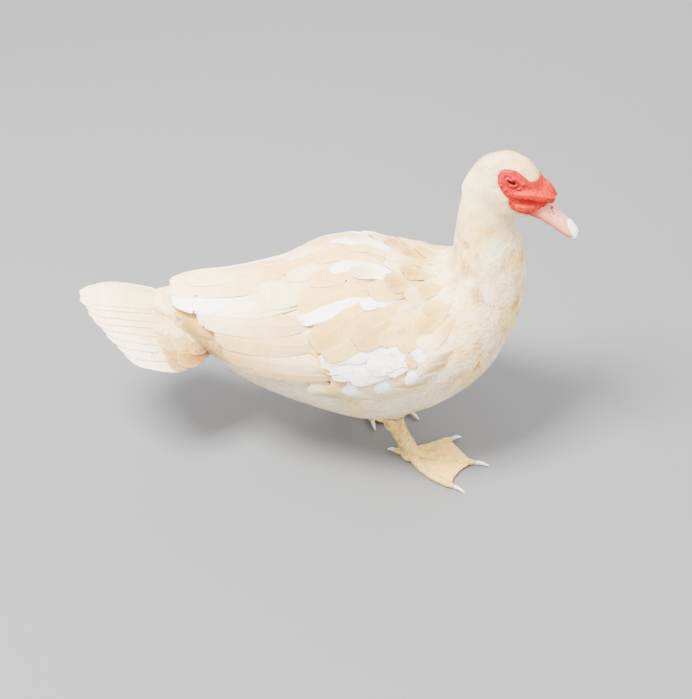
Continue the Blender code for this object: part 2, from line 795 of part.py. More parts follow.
def toe_path(root, heading, turn, length, bow=0.0):
    """Centre line of a toe on the floor, from the root of the toes."""
    way = math.radians(heading + turn)
    ahead = Vector((math.cos(way), math.sin(way), 0.0))
    aside = Vector((-ahead.y, ahead.x, 0.0)) * math.copysign(bow, turn)
    path = []
    for knuckle, height in zip((0.0, 0.3, 0.62, 1.0), (0.0075, 0.0052, 0.0040, 0.0034)):
        bent = ahead * length * knuckle + aside * math.sin(math.pi * knuckle)
        path.append(Vector((root.x, root.y, height)) + bent)
    return path


def flat_footed(thing):
    """Press everything that would reach under the floor flat on it."""
    for vert in thing.data.vertices:
        vert.co.z = max(vert.co.z, 0.0)
    return thing


def level(step):
    """The way of a step with its rise left out."""
    return Vector((step.x, step.y, 0.0)).normalized()


def toe(name, path):
    """A toe with raised cross scutes along it."""
    table = [tuple(point) for point in path]
    rings = 9
    points = [Vector(blended(table, 3 * k / (rings - 1))) for k in range(rings)]
    radii = []
    for k in range(rings):
        share = k / (rings - 1)
        scute = 0.00035 if k % 2 else 0.0
        radii.append(TOE_RADIUS * (1 - 0.34 * share) + scute - (0.0010 if k == rings - 1 else 0.0))
    return flat_footed(tube(name, points, radii, sides=7, flat=0.86, last=level(path[-1] - path[-2])))


def web(name, first, second, bulge):
    """Skin between two toes, its front edge full or hollow by a share of the toes' length."""
    rows = []
    for across in range(4):
        share = across / 3
        reach = 0.95 + bulge * math.sin(math.pi * share)
        row = []
        for along in range(4):
            place = 3 * reach * (0.12 + 0.88 * along / 3)
            one = Vector(blended([tuple(p) for p in first], place))
            two = Vector(blended([tuple(p) for p in second], place))
            point = one.lerp(two, share)
            sag = 0.0010 * math.sin(math.pi * share)
            point.z = max(0.0018, min(point.z, 0.0034) - sag)
            row.append(point)
        rows.append(row)
    shape = bmesh.new()
    skins = []
    for lift in (WEB_THICKNESS / 2, -WEB_THICKNESS / 2):
        skins.append([[shape.verts.new(point + Vector((0, 0, lift))) for point in row] for row in rows])
    top, bottom = skins
    last = len(rows) - 1
    for i in range(last):
        for j in range(last):
            one = (top[i][j], top[i + 1][j], top[i + 1][j + 1], top[i][j + 1])
            two = (bottom[i][j], bottom[i][j + 1], bottom[i + 1][j + 1], bottom[i + 1][j])
            for a, b, c, d in (one, two):
                shape.faces.new((a, b, c))
                shape.faces.new((a, c, d))
    rim = [(i, 0) for i in range(last)] + [(last, j) for j in range(last)]
    rim += [(i, last) for i in range(last, 0, -1)] + [(0, j) for j in range(last, 0, -1)]
    for (i, j), (m, n) in zip(rim, rim[1:] + rim[:1]):
        shape.faces.new((top[i][j], bottom[i][j], bottom[m][n], top[m][n]))
    return object_from(shape, name)


def claw(name, path, length):
    """A curved claw that starts a gap beyond the end of its toe."""
    ahead = level(path[-1] - path[-2])
    start = path[-1] + ahead * GAP
    heights = (0.0, 0.0006, -0.0004, -0.0024)
    points = [start + ahead * length * k / 3 + Vector((0, 0, h)) for k, h in enumerate(heights)]
    return flat_footed(tube(name, points, (0.0023, 0.0021, 0.0015, 0.0004), sides=5, rings=6, first=ahead))


def make_leg(side_name, materials, torso):
    """Thigh, shank, webbed foot and claws of one leg."""
    hip, hock, root, heading, hind_heading, spread = LEGS[side_name]
    inward = 1 if side_name == "right" else -1
    ankle = root + (hock - root).normalized() * 0.012

    knee = hip.lerp(hock, 0.55) + Vector((0.004, 0.0, 0.0))
    down = (hock - knee).normalized()
    thigh_path = [hip, knee, hock - down * (0.004 + GAP)]
    joint = (hock - down * 0.004, down)
    thigh = tube("thigh", thigh_path, (0.030, 0.0210, 0.0114), sides=14, rings=7, last=down)
    trimmed(thigh, grown(torso))
    trimmed(thigh, half_space(joint, False, -GAP))
    finish(thigh, f"thigh_{side_name}", materials["plumage"])

    along = root - hock
    low = along.normalized()
    shank_points = [hock - down * 0.0045]
    shank_points += [hock + along * share for share in (0.06, 0.22, 0.62)]
    shank_points.append(ankle - low * GAP)
    shank_radii = (0.0096, 0.0105, 0.0088, 0.0076, 0.0085)
    shank = tube("shank", shank_points, shank_radii, sides=12, rings=10, first=down, last=low)
    trimmed(shank, half_space(joint, True))
    trimmed(shank, grown(torso))
    finish(shank, f"shank_{side_name}", materials["leg"])

    ankle_points = [ankle, ankle.lerp(root, 0.5), root + Vector((0.001, 0, -0.002))]
    ankle_tube = tube("ankle", ankle_points, (0.0085, 0.0086, 0.0084), sides=12, rings=4, first=low)
    pieces = [flat_footed(ankle_tube)]
    pieces.append(flat_footed(ball("pad", root + Vector((0.0, 0.0, -0.0040)), (0.0098, 0.0092, 0.0078))))
    paths = {}
    claws = {}
    for toe_name, (turn, length, claw_length, bow) in TOES.items():
        paths[toe_name] = toe_path(root, heading, turn * spread * inward, length, bow)
        pieces.append(toe(toe_name, paths[toe_name]))
        claws[toe_name] = claw("claw", paths[toe_name], claw_length)
    hind = toe_path(root, hind_heading, 0.0, HIND_LENGTH)
    for point, height in zip(hind, (0.0080, 0.0064, 0.0042, 0.0028)):
        point.z = height
    end = level(hind[-1] - hind[-2])
    hind_toe = tube("hind", hind, (0.0044, 0.0040, 0.0034, 0.0027), sides=7, rings=6, last=end)
    pieces.append(flat_footed(hind_toe))
    claws["hind"] = claw("claw", hind, HIND_CLAW)
    for toe_name, nail in claws.items():
        finish(nail, f"claw_{side_name}_{toe_name}", materials["claw"])
    pieces.append(web("web", paths["inner"], paths["middle"], 0.02))
    pieces.append(web("web", paths["middle"], paths["outer"], -0.08))
    foot = joined("foot", pieces)
    finish(foot, f"foot_{side_name}", materials["leg"])


def stand_on_origin():
    """Bring the middle of the floor under the finished bird's box to the origin."""
    columns = list(zip(*(vert.co for thing in bpy.data.objects for vert in thing.data.vertices)))
    middle = Vector([(min(column) + max(column)) / 2 for column in columns])
    middle.z = min(columns[2])
    for thing in bpy.data.objects:
        thing.data.transform(Matrix.Translation(-middle))


def main():
    """Build every node of the bird."""
    clear_scene()
    materials = make_materials()
    flesh = make_body()

    torso = trimmed(copy_of(flesh, "torso"), half_space(NECK_CUT, True, GAP / 2), "INTERSECT")
    trimmed(torso, half_space(TAIL_CUT, False, -GAP / 2))
    finish(torso, "torso", materials["plumage"])

    neck = trimmed(copy_of(flesh, "neck"), half_space(NECK_CUT, False, GAP / 2), "INTERSECT")
    trimmed(neck, half_space(HEAD_CUT, False, -GAP / 2))
    finish(neck, "neck", materials["plumage"])

    make_head_group(materials, flesh)
    space = make_tail(materials, flesh)
    bpy.data.objects.remove(flesh)
    wing = make_wing(1, "wing_left", materials, torso, space)
    mirrored(wing, "wing_right")
    bpy.data.objects.remove(space)
    for side_name in LEGS:
        make_leg(side_name, materials, torso)
    stand_on_origin()


main()
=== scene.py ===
"""The finished surface of a life-size muscovy duck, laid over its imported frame."""

import json
import logging
import math
from dataclasses import dataclass, field
from enum import Enum
from typing import Callable, Sequence

import bmesh
import bpy
import numpy as np
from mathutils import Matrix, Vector
from mathutils.bvhtree import BVHTree
from mathutils.kdtree import KDTree

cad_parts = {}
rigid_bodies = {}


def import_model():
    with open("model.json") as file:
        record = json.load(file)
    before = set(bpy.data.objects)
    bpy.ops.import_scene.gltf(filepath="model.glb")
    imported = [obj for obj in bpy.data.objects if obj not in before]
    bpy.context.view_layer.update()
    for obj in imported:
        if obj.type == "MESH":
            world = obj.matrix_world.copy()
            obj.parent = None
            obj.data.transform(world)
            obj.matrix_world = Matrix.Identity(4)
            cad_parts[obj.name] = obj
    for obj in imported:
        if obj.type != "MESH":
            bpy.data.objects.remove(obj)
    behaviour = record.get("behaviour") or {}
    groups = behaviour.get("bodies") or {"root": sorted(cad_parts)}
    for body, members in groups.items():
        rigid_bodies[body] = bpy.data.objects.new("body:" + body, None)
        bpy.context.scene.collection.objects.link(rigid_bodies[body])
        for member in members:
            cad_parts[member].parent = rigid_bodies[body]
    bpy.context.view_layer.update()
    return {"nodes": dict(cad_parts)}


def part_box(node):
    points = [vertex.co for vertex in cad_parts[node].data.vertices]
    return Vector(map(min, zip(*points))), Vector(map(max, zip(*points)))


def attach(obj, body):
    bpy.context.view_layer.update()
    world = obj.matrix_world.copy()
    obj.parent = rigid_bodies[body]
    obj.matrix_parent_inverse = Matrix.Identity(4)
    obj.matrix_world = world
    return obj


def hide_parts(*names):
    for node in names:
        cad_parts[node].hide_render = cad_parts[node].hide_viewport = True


for leftover in list(bpy.data.objects):
    bpy.data.objects.remove(leftover)
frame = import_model()

BODY = "root"
MM = 0.001
LOG = logging.getLogger("duck")

# The head's own frame: its centre, its turn to the bird's right and the eyes in it
HEAD_CENTRE = (0.133, 0.0, 0.305)
HEAD_TURN = math.radians(-15.0)
EYE_SPOT = (0.0256, 0.0124, 0.0150)


class Side(Enum):
    """The bird's two sides, by the sign of Y."""

    RIGHT = -1
    LEFT = 1


def turned(points: np.ndarray, angle: float) -> np.ndarray:
    """Turn points about Z.

    Args:
        points: Points, one in each row.
        angle: The angle in radians.

    Returns:
        The turned points.
    """
    cos, sin = math.cos(angle), math.sin(angle)
    spin = np.array([[cos, sin, 0.0], [-sin, cos, 0.0], [0.0, 0.0, 1.0]])
    return np.asarray(points, float) @ spin


def found_shift() -> np.ndarray:
    """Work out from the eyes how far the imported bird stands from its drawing.

    Returns:
        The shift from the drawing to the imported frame.
    """
    corners = [np.array(corner) for node in ("eye_left", "eye_right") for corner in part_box(node)]
    middle = sum(corners) / len(corners)
    drawn = np.array(HEAD_CENTRE) + turned(np.array([EYE_SPOT[0], 0.0, EYE_SPOT[2]]), HEAD_TURN)
    found = middle - drawn
    found[2] = 0.0
    return found


SHIFT = found_shift()


def from_head(points: Sequence[Sequence[float]]) -> np.ndarray:
    """Carry points of the head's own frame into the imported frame."""
    return turned(np.asarray(points, float), HEAD_TURN) + np.array(HEAD_CENTRE) + SHIFT


def to_head(points: np.ndarray) -> np.ndarray:
    """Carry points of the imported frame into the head's own frame."""
    return turned(points - SHIFT - np.array(HEAD_CENTRE), -HEAD_TURN)


def eased(value: np.ndarray | float) -> np.ndarray:
    """Ease a share between 0 and 1."""
    share = np.clip(value, 0.0, 1.0)
    return share * share * (3.0 - 2.0 * share)


def unit(vectors: np.ndarray) -> np.ndarray:
    """Scale vectors to a length of one."""
    return vectors / np.maximum(np.linalg.norm(vectors, axis=-1, keepdims=True), 1e-12)


def through(table: Sequence[Sequence[float]], places: np.ndarray) -> np.ndarray:
    """Read a smooth curve through the rows of a table at places along their first column.

    Args:
        table: Rows whose first value rises.
        places: Where to read, in the first column's units.

    Returns:
        The other columns at each place.
    """
    rows = np.asarray(table, float)
    keys, values = rows[:, 0], rows[:, 1:]
    places = np.clip(places, keys[0], keys[-1])
    at = np.clip(np.searchsorted(keys, places, side="right") - 1, 0, len(keys) - 2)
    span = keys[at + 1] - keys[at]
    share = ((places - keys[at]) / span)[..., None]
    slopes = np.gradient(values, keys, axis=0)
    start, end = values[at], values[at + 1]
    rise, fall = slopes[at] * span[..., None], slopes[at + 1] * span[..., None]
    square, cube = share ** 2, share ** 3
    return (
        start * (2 * cube - 3 * square + 1) + rise * (cube - 2 * square + share)
        + end * (3 * square - 2 * cube) + fall * (cube - square)
    )


@dataclass
class SoftNoise:
    """Smooth seeded noise in space, made of plane waves.

    Attributes:
        size: The usual distance between two light spots.
        seed: The seed of the draw.
        waves: How many waves are added.
    """

    size: float
    seed: int
    waves: int = 16

    def __post_init__(self) -> None:
        """Draw the waves."""
        seeded = np.random.default_rng(self.seed)
        lengths = self.size * seeded.uniform(0.7, 1.6, (self.waves, 1))
        self.ways = unit(seeded.normal(size=(self.waves, 3))) * 2 * math.pi / lengths
        self.starts = seeded.uniform(0.0, 2 * math.pi, self.waves)

    def at(self, points: np.ndarray) -> np.ndarray:
        """Read the noise, which mostly stays between -2 and 2."""
        return np.sin(points @ self.ways.T + self.starts).sum(-1) / math.sqrt(self.waves / 2)


class Shaders:
    """Shader node groups that several finishes share, each built once."""

    built: dict[str, bpy.types.ShaderNodeTree] = {}

    @staticmethod
    def math(tree: bpy.types.NodeTree, kind: str, *values: object) -> bpy.types.NodeSocket:
        """Add a Math node.

        Args:
            tree: The node tree.
            kind: The Math node's operation.
            values: Numbers or sockets for its inputs.

        Returns:
            The node's result.
        """
        node = tree.nodes.new("ShaderNodeMath")
        node.operation = kind
        for socket, value in zip(node.inputs, values):
            if isinstance(value, bpy.types.NodeSocket):
                tree.links.new(value, socket)
            else:
                socket.default_value = value
        return node.outputs[0]

    @staticmethod
    def mix(tree: bpy.types.NodeTree, share: object, first: object, second: object,
            blend: str = "MIX") -> bpy.types.NodeSocket:
        """Add a Mix node for colours.

        Args:
            tree: The node tree.
            share: How much of the second colour shows, as a number or socket.
            first: The first colour or socket.
            second: The second colour or socket.
            blend: The way in which the colours are mixed.

        Returns:
            The mixed colour.
        """
        node = tree.nodes.new("ShaderNodeMix")
        node.data_type = "RGBA"
        node.blend_type = blend
        node.clamp_factor = True
        for socket, value in ((node.inputs[0], share), (node.inputs[6], first), (node.inputs[7], second)):
            if isinstance(value, bpy.types.NodeSocket):
                tree.links.new(value, socket)
            elif isinstance(value, (int, float)):
                socket.default_value = value
            else:
                socket.default_value = (*value, 1.0)
        return node.outputs[2]

    @classmethod
    def start(cls, name: str, inputs: Sequence[tuple[str, str, object]],
              outputs: Sequence[tuple[str, str]]) -> tuple:
        """Start a node group with named sockets.

        Args:
            name: The group's name.
            inputs: Name, socket type and value of each input.
            outputs: Name and socket type of each output.

        Returns:
            The group, its input node and its output node.
        """
        tree = bpy.data.node_groups.new(name, "ShaderNodeTree")
        for label, kind, value in inputs:
            socket = tree.interface.new_socket(label, in_out="INPUT", socket_type=kind)
            socket.default_value = value
        for label, kind in outputs:
            tree.interface.new_socket(label, in_out="OUTPUT", socket_type=kind)
        cls.built[name] = tree
        return tree, tree.nodes.new("NodeGroupInput"), tree.nodes.new("NodeGroupOutput")

    @classmethod
    def vane(cls) -> bpy.types.ShaderNodeTree:
        """Build the group that draws barbs, shaft and edge on a feather.

        Returns:
            The group, with outputs Barbs, Shaft, Edge and Height.
        """
        if "vane_detail" in cls.built:
            return cls.built["vane_detail"]
        number = "NodeSocketFloat"
        tree, given, out = cls.start(
            "vane_detail",
            [("Count", number, 60.0), ("Slant", number, 12.0), ("Shaft Width", number, 0.06)],
            [("Barbs", number), ("Shaft", number), ("Edge", number), ("Height", number)],
        )
        place = tree.nodes.new("ShaderNodeUVMap")
        place.uv_map = "vane"
        split = tree.nodes.new("ShaderNodeSeparateXYZ")
        tree.links.new(place.outputs[0], split.inputs[0])
        across = cls.math(tree, "ABSOLUTE", cls.math(tree, "MULTIPLY_ADD", split.outputs[0], 2.0, -1.0))
        lines = cls.math(
            tree, "SUBTRACT",
            cls.math(tree, "MULTIPLY", split.outputs[1], given.outputs["Count"]),
            cls.math(tree, "MULTIPLY", across, given.outputs["Slant"]),
        )
        grain = tree.nodes.new("ShaderNodeTexNoise")
        grain.noise_dimensions = "2D"
        grain.inputs["Scale"].default_value = 1.0
        grain.inputs["Detail"].default_value = 3.0
        join = tree.nodes.new("ShaderNodeCombineXYZ")
        tree.links.new(lines, join.inputs[0])
        tree.links.new(cls.math(tree, "MULTIPLY", across, 1.5), join.inputs[1])
        tree.links.new(join.outputs[0], grain.inputs["Vector"])
        barbs = cls.math(tree, "MULTIPLY_ADD", grain.outputs[0], 2.4, -0.7)
        wave = cls.math(tree, "SINE", cls.math(tree, "MULTIPLY", lines, 2 * math.pi))
        shaft = cls.math(tree, "SUBTRACT", 1.0, cls.math(tree, "DIVIDE", across, given.outputs["Shaft Width"]))
        shaft = cls.math(tree, "MAXIMUM", shaft, 0.0)
        edge = cls.math(tree, "POWER", across, 8.0)
        tip = cls.math(tree, "POWER", split.outputs[1], 16.0)
        height = cls.math(tree, "MULTIPLY_ADD", wave, 0.25, barbs)
        tree.links.new(cls.math(tree, "MINIMUM", cls.math(tree, "MAXIMUM", barbs, 0.0), 1.0), out.inputs["Barbs"])
        tree.links.new(shaft, out.inputs["Shaft"])
        tree.links.new(cls.math(tree, "MAXIMUM", edge, tip), out.inputs["Edge"])
        tree.links.new(height, out.inputs["Height"])
        return tree

    @classmethod
    def speckle(cls) -> bpy.types.ShaderNodeTree:
        """Build the group that mottles a surface with soft clouds and small pits.

        Returns:
            The group, with outputs Cloud, Pits and Height.
        """
        if "speckle" in cls.built:
            return cls.built["speckle"]
        number = "NodeSocketFloat"
        tree, given, out = cls.start(
            "speckle",
            [("Cloud Scale", number, 60.0), ("Pit Scale", number, 500.0), ("Pit Depth", number, 0.5)],
            [("Cloud", number), ("Pits", number), ("Height", number)],
        )
        place = tree.nodes.new("ShaderNodeTexCoord")
        cloud = tree.nodes.new("ShaderNodeTexNoise")
        cloud.inputs["Detail"].default_value = 5.0
        tree.links.new(place.outputs["Object"], cloud.inputs["Vector"])
        tree.links.new(given.outputs["Cloud Scale"], cloud.inputs["Scale"])
        pits = tree.nodes.new("ShaderNodeTexVoronoi")
        tree.links.new(place.outputs["Object"], pits.inputs["Vector"])
        tree.links.new(given.outputs["Pit Scale"], pits.inputs["Scale"])
        clear = cls.math(tree, "MULTIPLY_ADD", cloud.outputs[0], 2.6, -0.8)
        clear = cls.math(tree, "MINIMUM", cls.math(tree, "MAXIMUM", clear, 0.0), 1.0)
        deep = cls.math(tree, "MULTIPLY", pits.outputs["Distance"], given.outputs["Pit Depth"])
        tree.links.new(clear, out.inputs["Cloud"])
        tree.links.new(pits.outputs["Distance"], out.inputs["Pits"])
        tree.links.new(cls.math(tree, "ADD", deep, cls.math(tree, "MULTIPLY", clear, 0.4)), out.inputs["Height"])
        return tree


@dataclass(frozen=True)
class Finish:
    """What every finish has: its name, its slot in the record and its gloss.

    Attributes:
        name: The material's name.
        slot: The record's material slot; not used.
        roughness: The roughness of the whole surface.
        bump: How strong the bump is.
        bump_depth: How deep the bump is, in metres.
    """

    name: str
    slot: str
    roughness: float = 0.6
    bump: float = 0.3
    bump_depth: float = 0.0003

    def begin(self) -> tuple:
        """Start a material.

        Returns:
            The material, its node tree and its Principled shader.
        """
        material = bpy.data.materials.new(self.name)
        material.use_nodes = True
        tree = material.node_tree
        shader = tree.nodes["Principled BSDF"]
        shader.inputs["Roughness"].default_value = self.roughness
        return material, tree, shader

    def raise_height(self, tree: bpy.types.NodeTree, shader: bpy.types.Node,
                     height: bpy.types.NodeSocket) -> None:
        """Feed a height into the shader's normal.

        Args:
            tree: The node tree.
            shader: The Principled shader.
            height: The height's socket.
        """
        bump = tree.nodes.new("ShaderNodeBump")
        bump.inputs["Strength"].default_value = self.bump
        bump.inputs["Distance"].default_value = self.bump_depth
        tree.links.new(height, bump.inputs["Height"])
        tree.links.new(bump.outputs[0], shader.inputs["Normal"])

    @staticmethod
    def group(tree: bpy.types.NodeTree, made: bpy.types.ShaderNodeTree, **values: float) -> bpy.types.Node:
        """Place a shared group in a material with its own values."""
        node = tree.nodes.new("ShaderNodeGroup")
        node.node_tree = made
        for label, value in values.items():
            node.inputs[label.replace("_", " ")].default_value = value
        return node

    @staticmethod
    def marks(tree: bpy.types.NodeTree) -> tuple:
        """Read the markings that are stored on a mesh.

        Returns:
            The sockets of the tan, white and shade values.
        """
        stored = tree.nodes.new("ShaderNodeAttribute")
        stored.attribute_name = "marking"
        split = tree.nodes.new("ShaderNodeSeparateColor")
        tree.links.new(stored.outputs["Color"], split.inputs[0])
        return tuple(split.outputs[:3])


@dataclass(frozen=True)
class PlumageFinish(Finish):
    """Feathers: cream, marked with tan and white, with barbs, a shaft and painted shadow lines at the margins.

    Attributes:
        cream: The ground colour.
        tan: The colour of the dark spots and tips.
        white: The colour of the white feathers.
        barbs: How many barbs are drawn along a feather.
        slant: How far the barbs slant to the tip.
        streak: How strongly the barbs show.
        shaft: How strongly the shaft shows.
        edge: How dark the painted shadow lines at the margins and tips are.
        vaned: Whether the mesh has feather coordinates.
    """

    cream: tuple = (0.94, 0.62, 0.15)
    tan: tuple = (0.43, 0.19, 0.045)
    white: tuple = (0.97, 0.97, 0.97)
    barbs: float = 60.0
    slant: float = 12.0
    streak: float = 0.25
    shaft: float = 0.3
    edge: float = 0.0
    vaned: bool = True

    def make(self) -> bpy.types.Material:
        """Build the material.

        Returns:
            The material.
        """
        material, tree, shader = self.begin()
        tan, white, shade = self.marks(tree)
        colour = Shaders.mix(tree, tan, self.cream, self.tan)
        colour = Shaders.mix(tree, white, colour, self.white)
        # The stored shade lightens or darkens the colour: random tone, with painted shade and painted light.
        light = Shaders.math(tree, "MULTIPLY_ADD", shade, 0.34, 0.79)
        join = tree.nodes.new("ShaderNodeCombineColor")
        for socket in join.inputs:
            tree.links.new(light, socket)
        colour = Shaders.mix(tree, 1.0, colour, join.outputs[0], "MULTIPLY")
        if self.vaned:
            detail = self.group(tree, Shaders.vane(), Count=self.barbs, Slant=self.slant)
            streak = Shaders.math(tree, "MULTIPLY", detail.outputs["Barbs"], self.streak)
            dark = Shaders.mix(tree, 1.0, colour, (0.78, 0.66, 0.50), "MULTIPLY")
            colour = Shaders.mix(tree, streak, colour, dark)
            shaft = Shaders.math(tree, "MULTIPLY", detail.outputs["Shaft"], self.shaft)
            colour = Shaders.mix(tree, shaft, colour, (0.93, 0.85, 0.70))
            # Painted shadow: thin darker lines at the margins and tips, standing for the shadow lines between
            # overlapping feathers.
            edge = Shaders.math(tree, "MULTIPLY", detail.outputs["Edge"], self.edge)
            colour = Shaders.mix(tree, edge, colour, Shaders.mix(tree, 1.0, colour, (0.66, 0.52, 0.36), "MULTIPLY"))
            self.raise_height(tree, shader, detail.outputs["Height"])
        tree.links.new(colour, shader.inputs["Base Color"])
        shader.inputs["Sheen Weight"].default_value = 0.05
        shader.inputs["Sheen Roughness"].default_value = 0.5
        shader.inputs["Specular IOR Level"].default_value = 0.12
        return material


@dataclass(frozen=True)
class FleshFinish(Finish):
    """Bare skin and horn: a ground colour, clouds of a second and marks of a third and fourth.

    Attributes:
        ground: The main colour.
        cloud: The colour of the soft clouds.
        first: The colour of the first stored mark.
        second: The colour of the second stored mark.
        cloud_scale: How fine the clouds are.
        pit_scale: How fine the pits are.
        pit_depth: How deep the pits look.
        coat: How wet the surface looks.
        flesh: How far light goes into the surface.
        gloss: How strongly the surface mirrors light.
    """

    ground: tuple = (0.7, 0.2, 0.1)
    cloud: tuple = (0.7, 0.2, 0.1)
    first: tuple = (0.7, 0.2, 0.1)
    second: tuple = (0.1, 0.05, 0.03)
    cloud_scale: float = 90.0
    pit_scale: float = 700.0
    pit_depth: float = 0.6
    coat: float = 0.0
    flesh: float = 0.15
    gloss: float = 0.4

    def make(self) -> bpy.types.Material:
        """Build the material.

        Returns:
            The material.
        """
        material, tree, shader = self.begin()
        first, second, shade = self.marks(tree)
        spots = self.group(
            tree, Shaders.speckle(),
            Cloud_Scale=self.cloud_scale, Pit_Scale=self.pit_scale, Pit_Depth=self.pit_depth,
        )
        colour = Shaders.mix(tree, spots.outputs["Cloud"], self.ground, self.cloud)
        colour = Shaders.mix(tree, first, colour, self.first)
        colour = Shaders.mix(tree, second, colour, self.second)
        light = Shaders.math(tree, "MULTIPLY_ADD", shade, 0.5, 0.75)
        join = tree.nodes.new("ShaderNodeCombineColor")
        for socket in join.inputs:
            tree.links.new(light, socket)
        colour = Shaders.mix(tree, 1.0, colour, join.outputs[0], "MULTIPLY")
        tree.links.new(colour, shader.inputs["Base Color"])
        shader.inputs["Coat Weight"].default_value = self.coat
        shader.inputs["Coat Roughness"].default_value = 0.3
        shader.inputs["Specular IOR Level"].default_value = self.gloss
        shader.inputs["Subsurface Weight"].default_value = self.flesh
        shader.inputs["Subsurface Radius"].default_value = (0.0030, 0.0012, 0.0008)
        shader.inputs["Subsurface Scale"].default_value = 1.0
        self.raise_height(tree, shader, spots.outputs["Height"])
        return material


@dataclass(frozen=True)
class EyeFinish(Finish):
    """A dark wet eye with a brown iris."""

    iris: tuple = (0.035, 0.014, 0.006)
    pupil: tuple = (0.004, 0.003, 0.003)

    def make(self) -> bpy.types.Material:
        """Build the material.

        Returns:
            The material.
        """
        material, tree, shader = self.begin()
        ring, _, _ = self.marks(tree)
        spots = self.group(tree, Shaders.speckle(), Cloud_Scale=900.0, Pit_Scale=2000.0, Pit_Depth=0.1)
        rayed = Shaders.mix(tree, spots.outputs["Cloud"], self.iris, tuple(2.2 * part for part in self.iris))
        colour = Shaders.mix(tree, ring, self.pupil, rayed)
        tree.links.new(colour, shader.inputs["Base Color"])
        shader.inputs["Specular IOR Level"].default_value = 0.3
        shader.inputs["Coat Weight"].default_value = 0.4
        shader.inputs["Coat Roughness"].default_value = 0.03
        return material


@dataclass
class Draft:
    """A mesh in the making, of lens-shaped leaves or of any faces.

    Attributes:
        name: The piece's name.
        corners: Blocks of points.
        faces: Blocks of quads.
        vanes: Feather coordinates of the points.
        patches: Places of the points on the unwrapped skin.
        marks: Marks of the points.
        count: How many points there are so far.
    """

    name: str
    corners: list = field(default_factory=list)
    faces: list = field(default_factory=list)
    vanes: list = field(default_factory=list)
    patches: list = field(default_factory=list)
    marks: list = field(default_factory=list)
    count: int = 0

    @staticmethod
    def template(along: int, across: int) -> tuple[np.ndarray, np.ndarray]:
        """Lay out one leaf whose two faces share their rim.

        Args:
            along: Points along the leaf.
            across: Points across it.

        Returns:
            The quads, and which points of the grid the under face has of its own.
        """
        grid = np.arange(along * across).reshape(along, across)
        under = grid.copy()
        inner = grid[1:-1, 1:-1].ravel()
        under[1:-1, 1:-1] = (along * across + np.arange(len(inner))).reshape(along - 2, across - 2)
        quads = []
        for layer, flip in ((grid, False), (under, True)):
            ring = np.stack([layer[:-1, :-1], layer[:-1, 1:], layer[1:, 1:], layer[1:, :-1]], -1).reshape(-1, 4)
            quads.append(ring[:, ::-1] if flip else ring)
        return np.vstack(quads), inner

    def add_leaves(self, tops: np.ndarray, unders: np.ndarray, roots: np.ndarray, marks: np.ndarray) -> None:
        """Add many leaves of the same layout.

        Args:
            tops: Points of the upper faces, by leaf, along and across.
            unders: Points of the lower faces, laid out alike.
            roots: Each root's place on the unwrapped skin.
            marks: Tan, white and shade of each leaf, or of each point of its grid.
        """
        leaves, along, across, _ = tops.shape
        quads, inner = self.template(along, across)
        flat_top = tops.reshape(leaves, -1, 3)
        flat_under = unders.reshape(leaves, -1, 3)[:, inner]
        points = np.concatenate([flat_top, flat_under], 1)
        each = points.shape[1]
        right, up = np.meshgrid(np.linspace(0, 1, across), np.linspace(0, 1, along))
        place = np.stack([right.ravel(), up.ravel()], -1)
        place = np.vstack([place, place[inner]])
        if marks.ndim == 2:
            marks = np.repeat(marks[:, None], along * across, 1)
        marks = marks.reshape(leaves, along * across, 3)
        marks = np.concatenate([marks, marks[:, inner]], 1)
        offsets = (self.count + each * np.arange(leaves))[:, None, None]
        self.corners.append(points.reshape(-1, 3))
        self.faces.append((quads[None] + offsets).reshape(-1, 4))
        self.vanes.append(np.tile(place, (leaves, 1)))
        self.patches.append((roots[:, None] + (place[None] - 0.5) * 0.003).reshape(-1, 2))
        self.marks.append(marks.reshape(-1, 3))
        self.count += leaves * each

    def build(self, finish: Finish, material: bpy.types.Material) -> bpy.types.Object:
        """Turn the draft into an object that rides on the body.

        Args:
            finish: The finish whose slot the piece takes.
            material: The finish's material.

        Returns:
            finish: The piece's finish; not used.
        """
        points = np.vstack(self.corners).astype(np.float32)
        quads = np.vstack(self.faces).astype(np.int32)
        mesh = bpy.data.meshes.new(self.name)
        mesh.vertices.add(len(points))
        mesh.vertices.foreach_set("co", points.ravel())
        mesh.loops.add(quads.size)
        mesh.loops.foreach_set("vertex_index", quads.ravel())
        mesh.polygons.add(len(quads))
        mesh.polygons.foreach_set("loop_start", np.arange(len(quads), dtype=np.int32) * 4)
        mesh.update(calc_edges=True)
        for label, blocks in (("OFBake", self.patches), ("vane", self.vanes)):
            layer = mesh.uv_layers.new(name=label)
            layer.data.foreach_set("uv", np.vstack(blocks)[quads.ravel()].astype(np.float32).ravel())
        store_marks(mesh, np.vstack(self.marks))
        mesh.shade_smooth()
        mesh.set_sharp_from_angle(angle=math.radians(60.0))
        mesh.materials.append(material)
        made = bpy.data.objects.new(self.name, mesh)
        bpy.context.scene.collection.objects.link(made)
        return settle(made)


def store_marks(mesh: bpy.types.Mesh, marks: np.ndarray) -> None:
    """Store three marks for each point of a mesh.

    Args:
        mesh: The mesh.
        marks: Three values from 0 to 1 for each point.
    """
    full = np.ones((len(marks), 4), np.float32)
    full[:, :3] = np.clip(marks, 0.0, 1.0)
    stored = mesh.color_attributes.new("marking", "FLOAT_COLOR", "POINT")
    stored.data.foreach_set("color", full.ravel())


def settle(piece: bpy.types.Object) -> bpy.types.Object:
    """Let a piece ride on the body and report it.

    Args:
        piece: The piece.

    Returns:
        The piece.
    """
    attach(piece, BODY)
    LOG.info("%s: %d faces", piece.name, len(piece.data.polygons))
    return piece


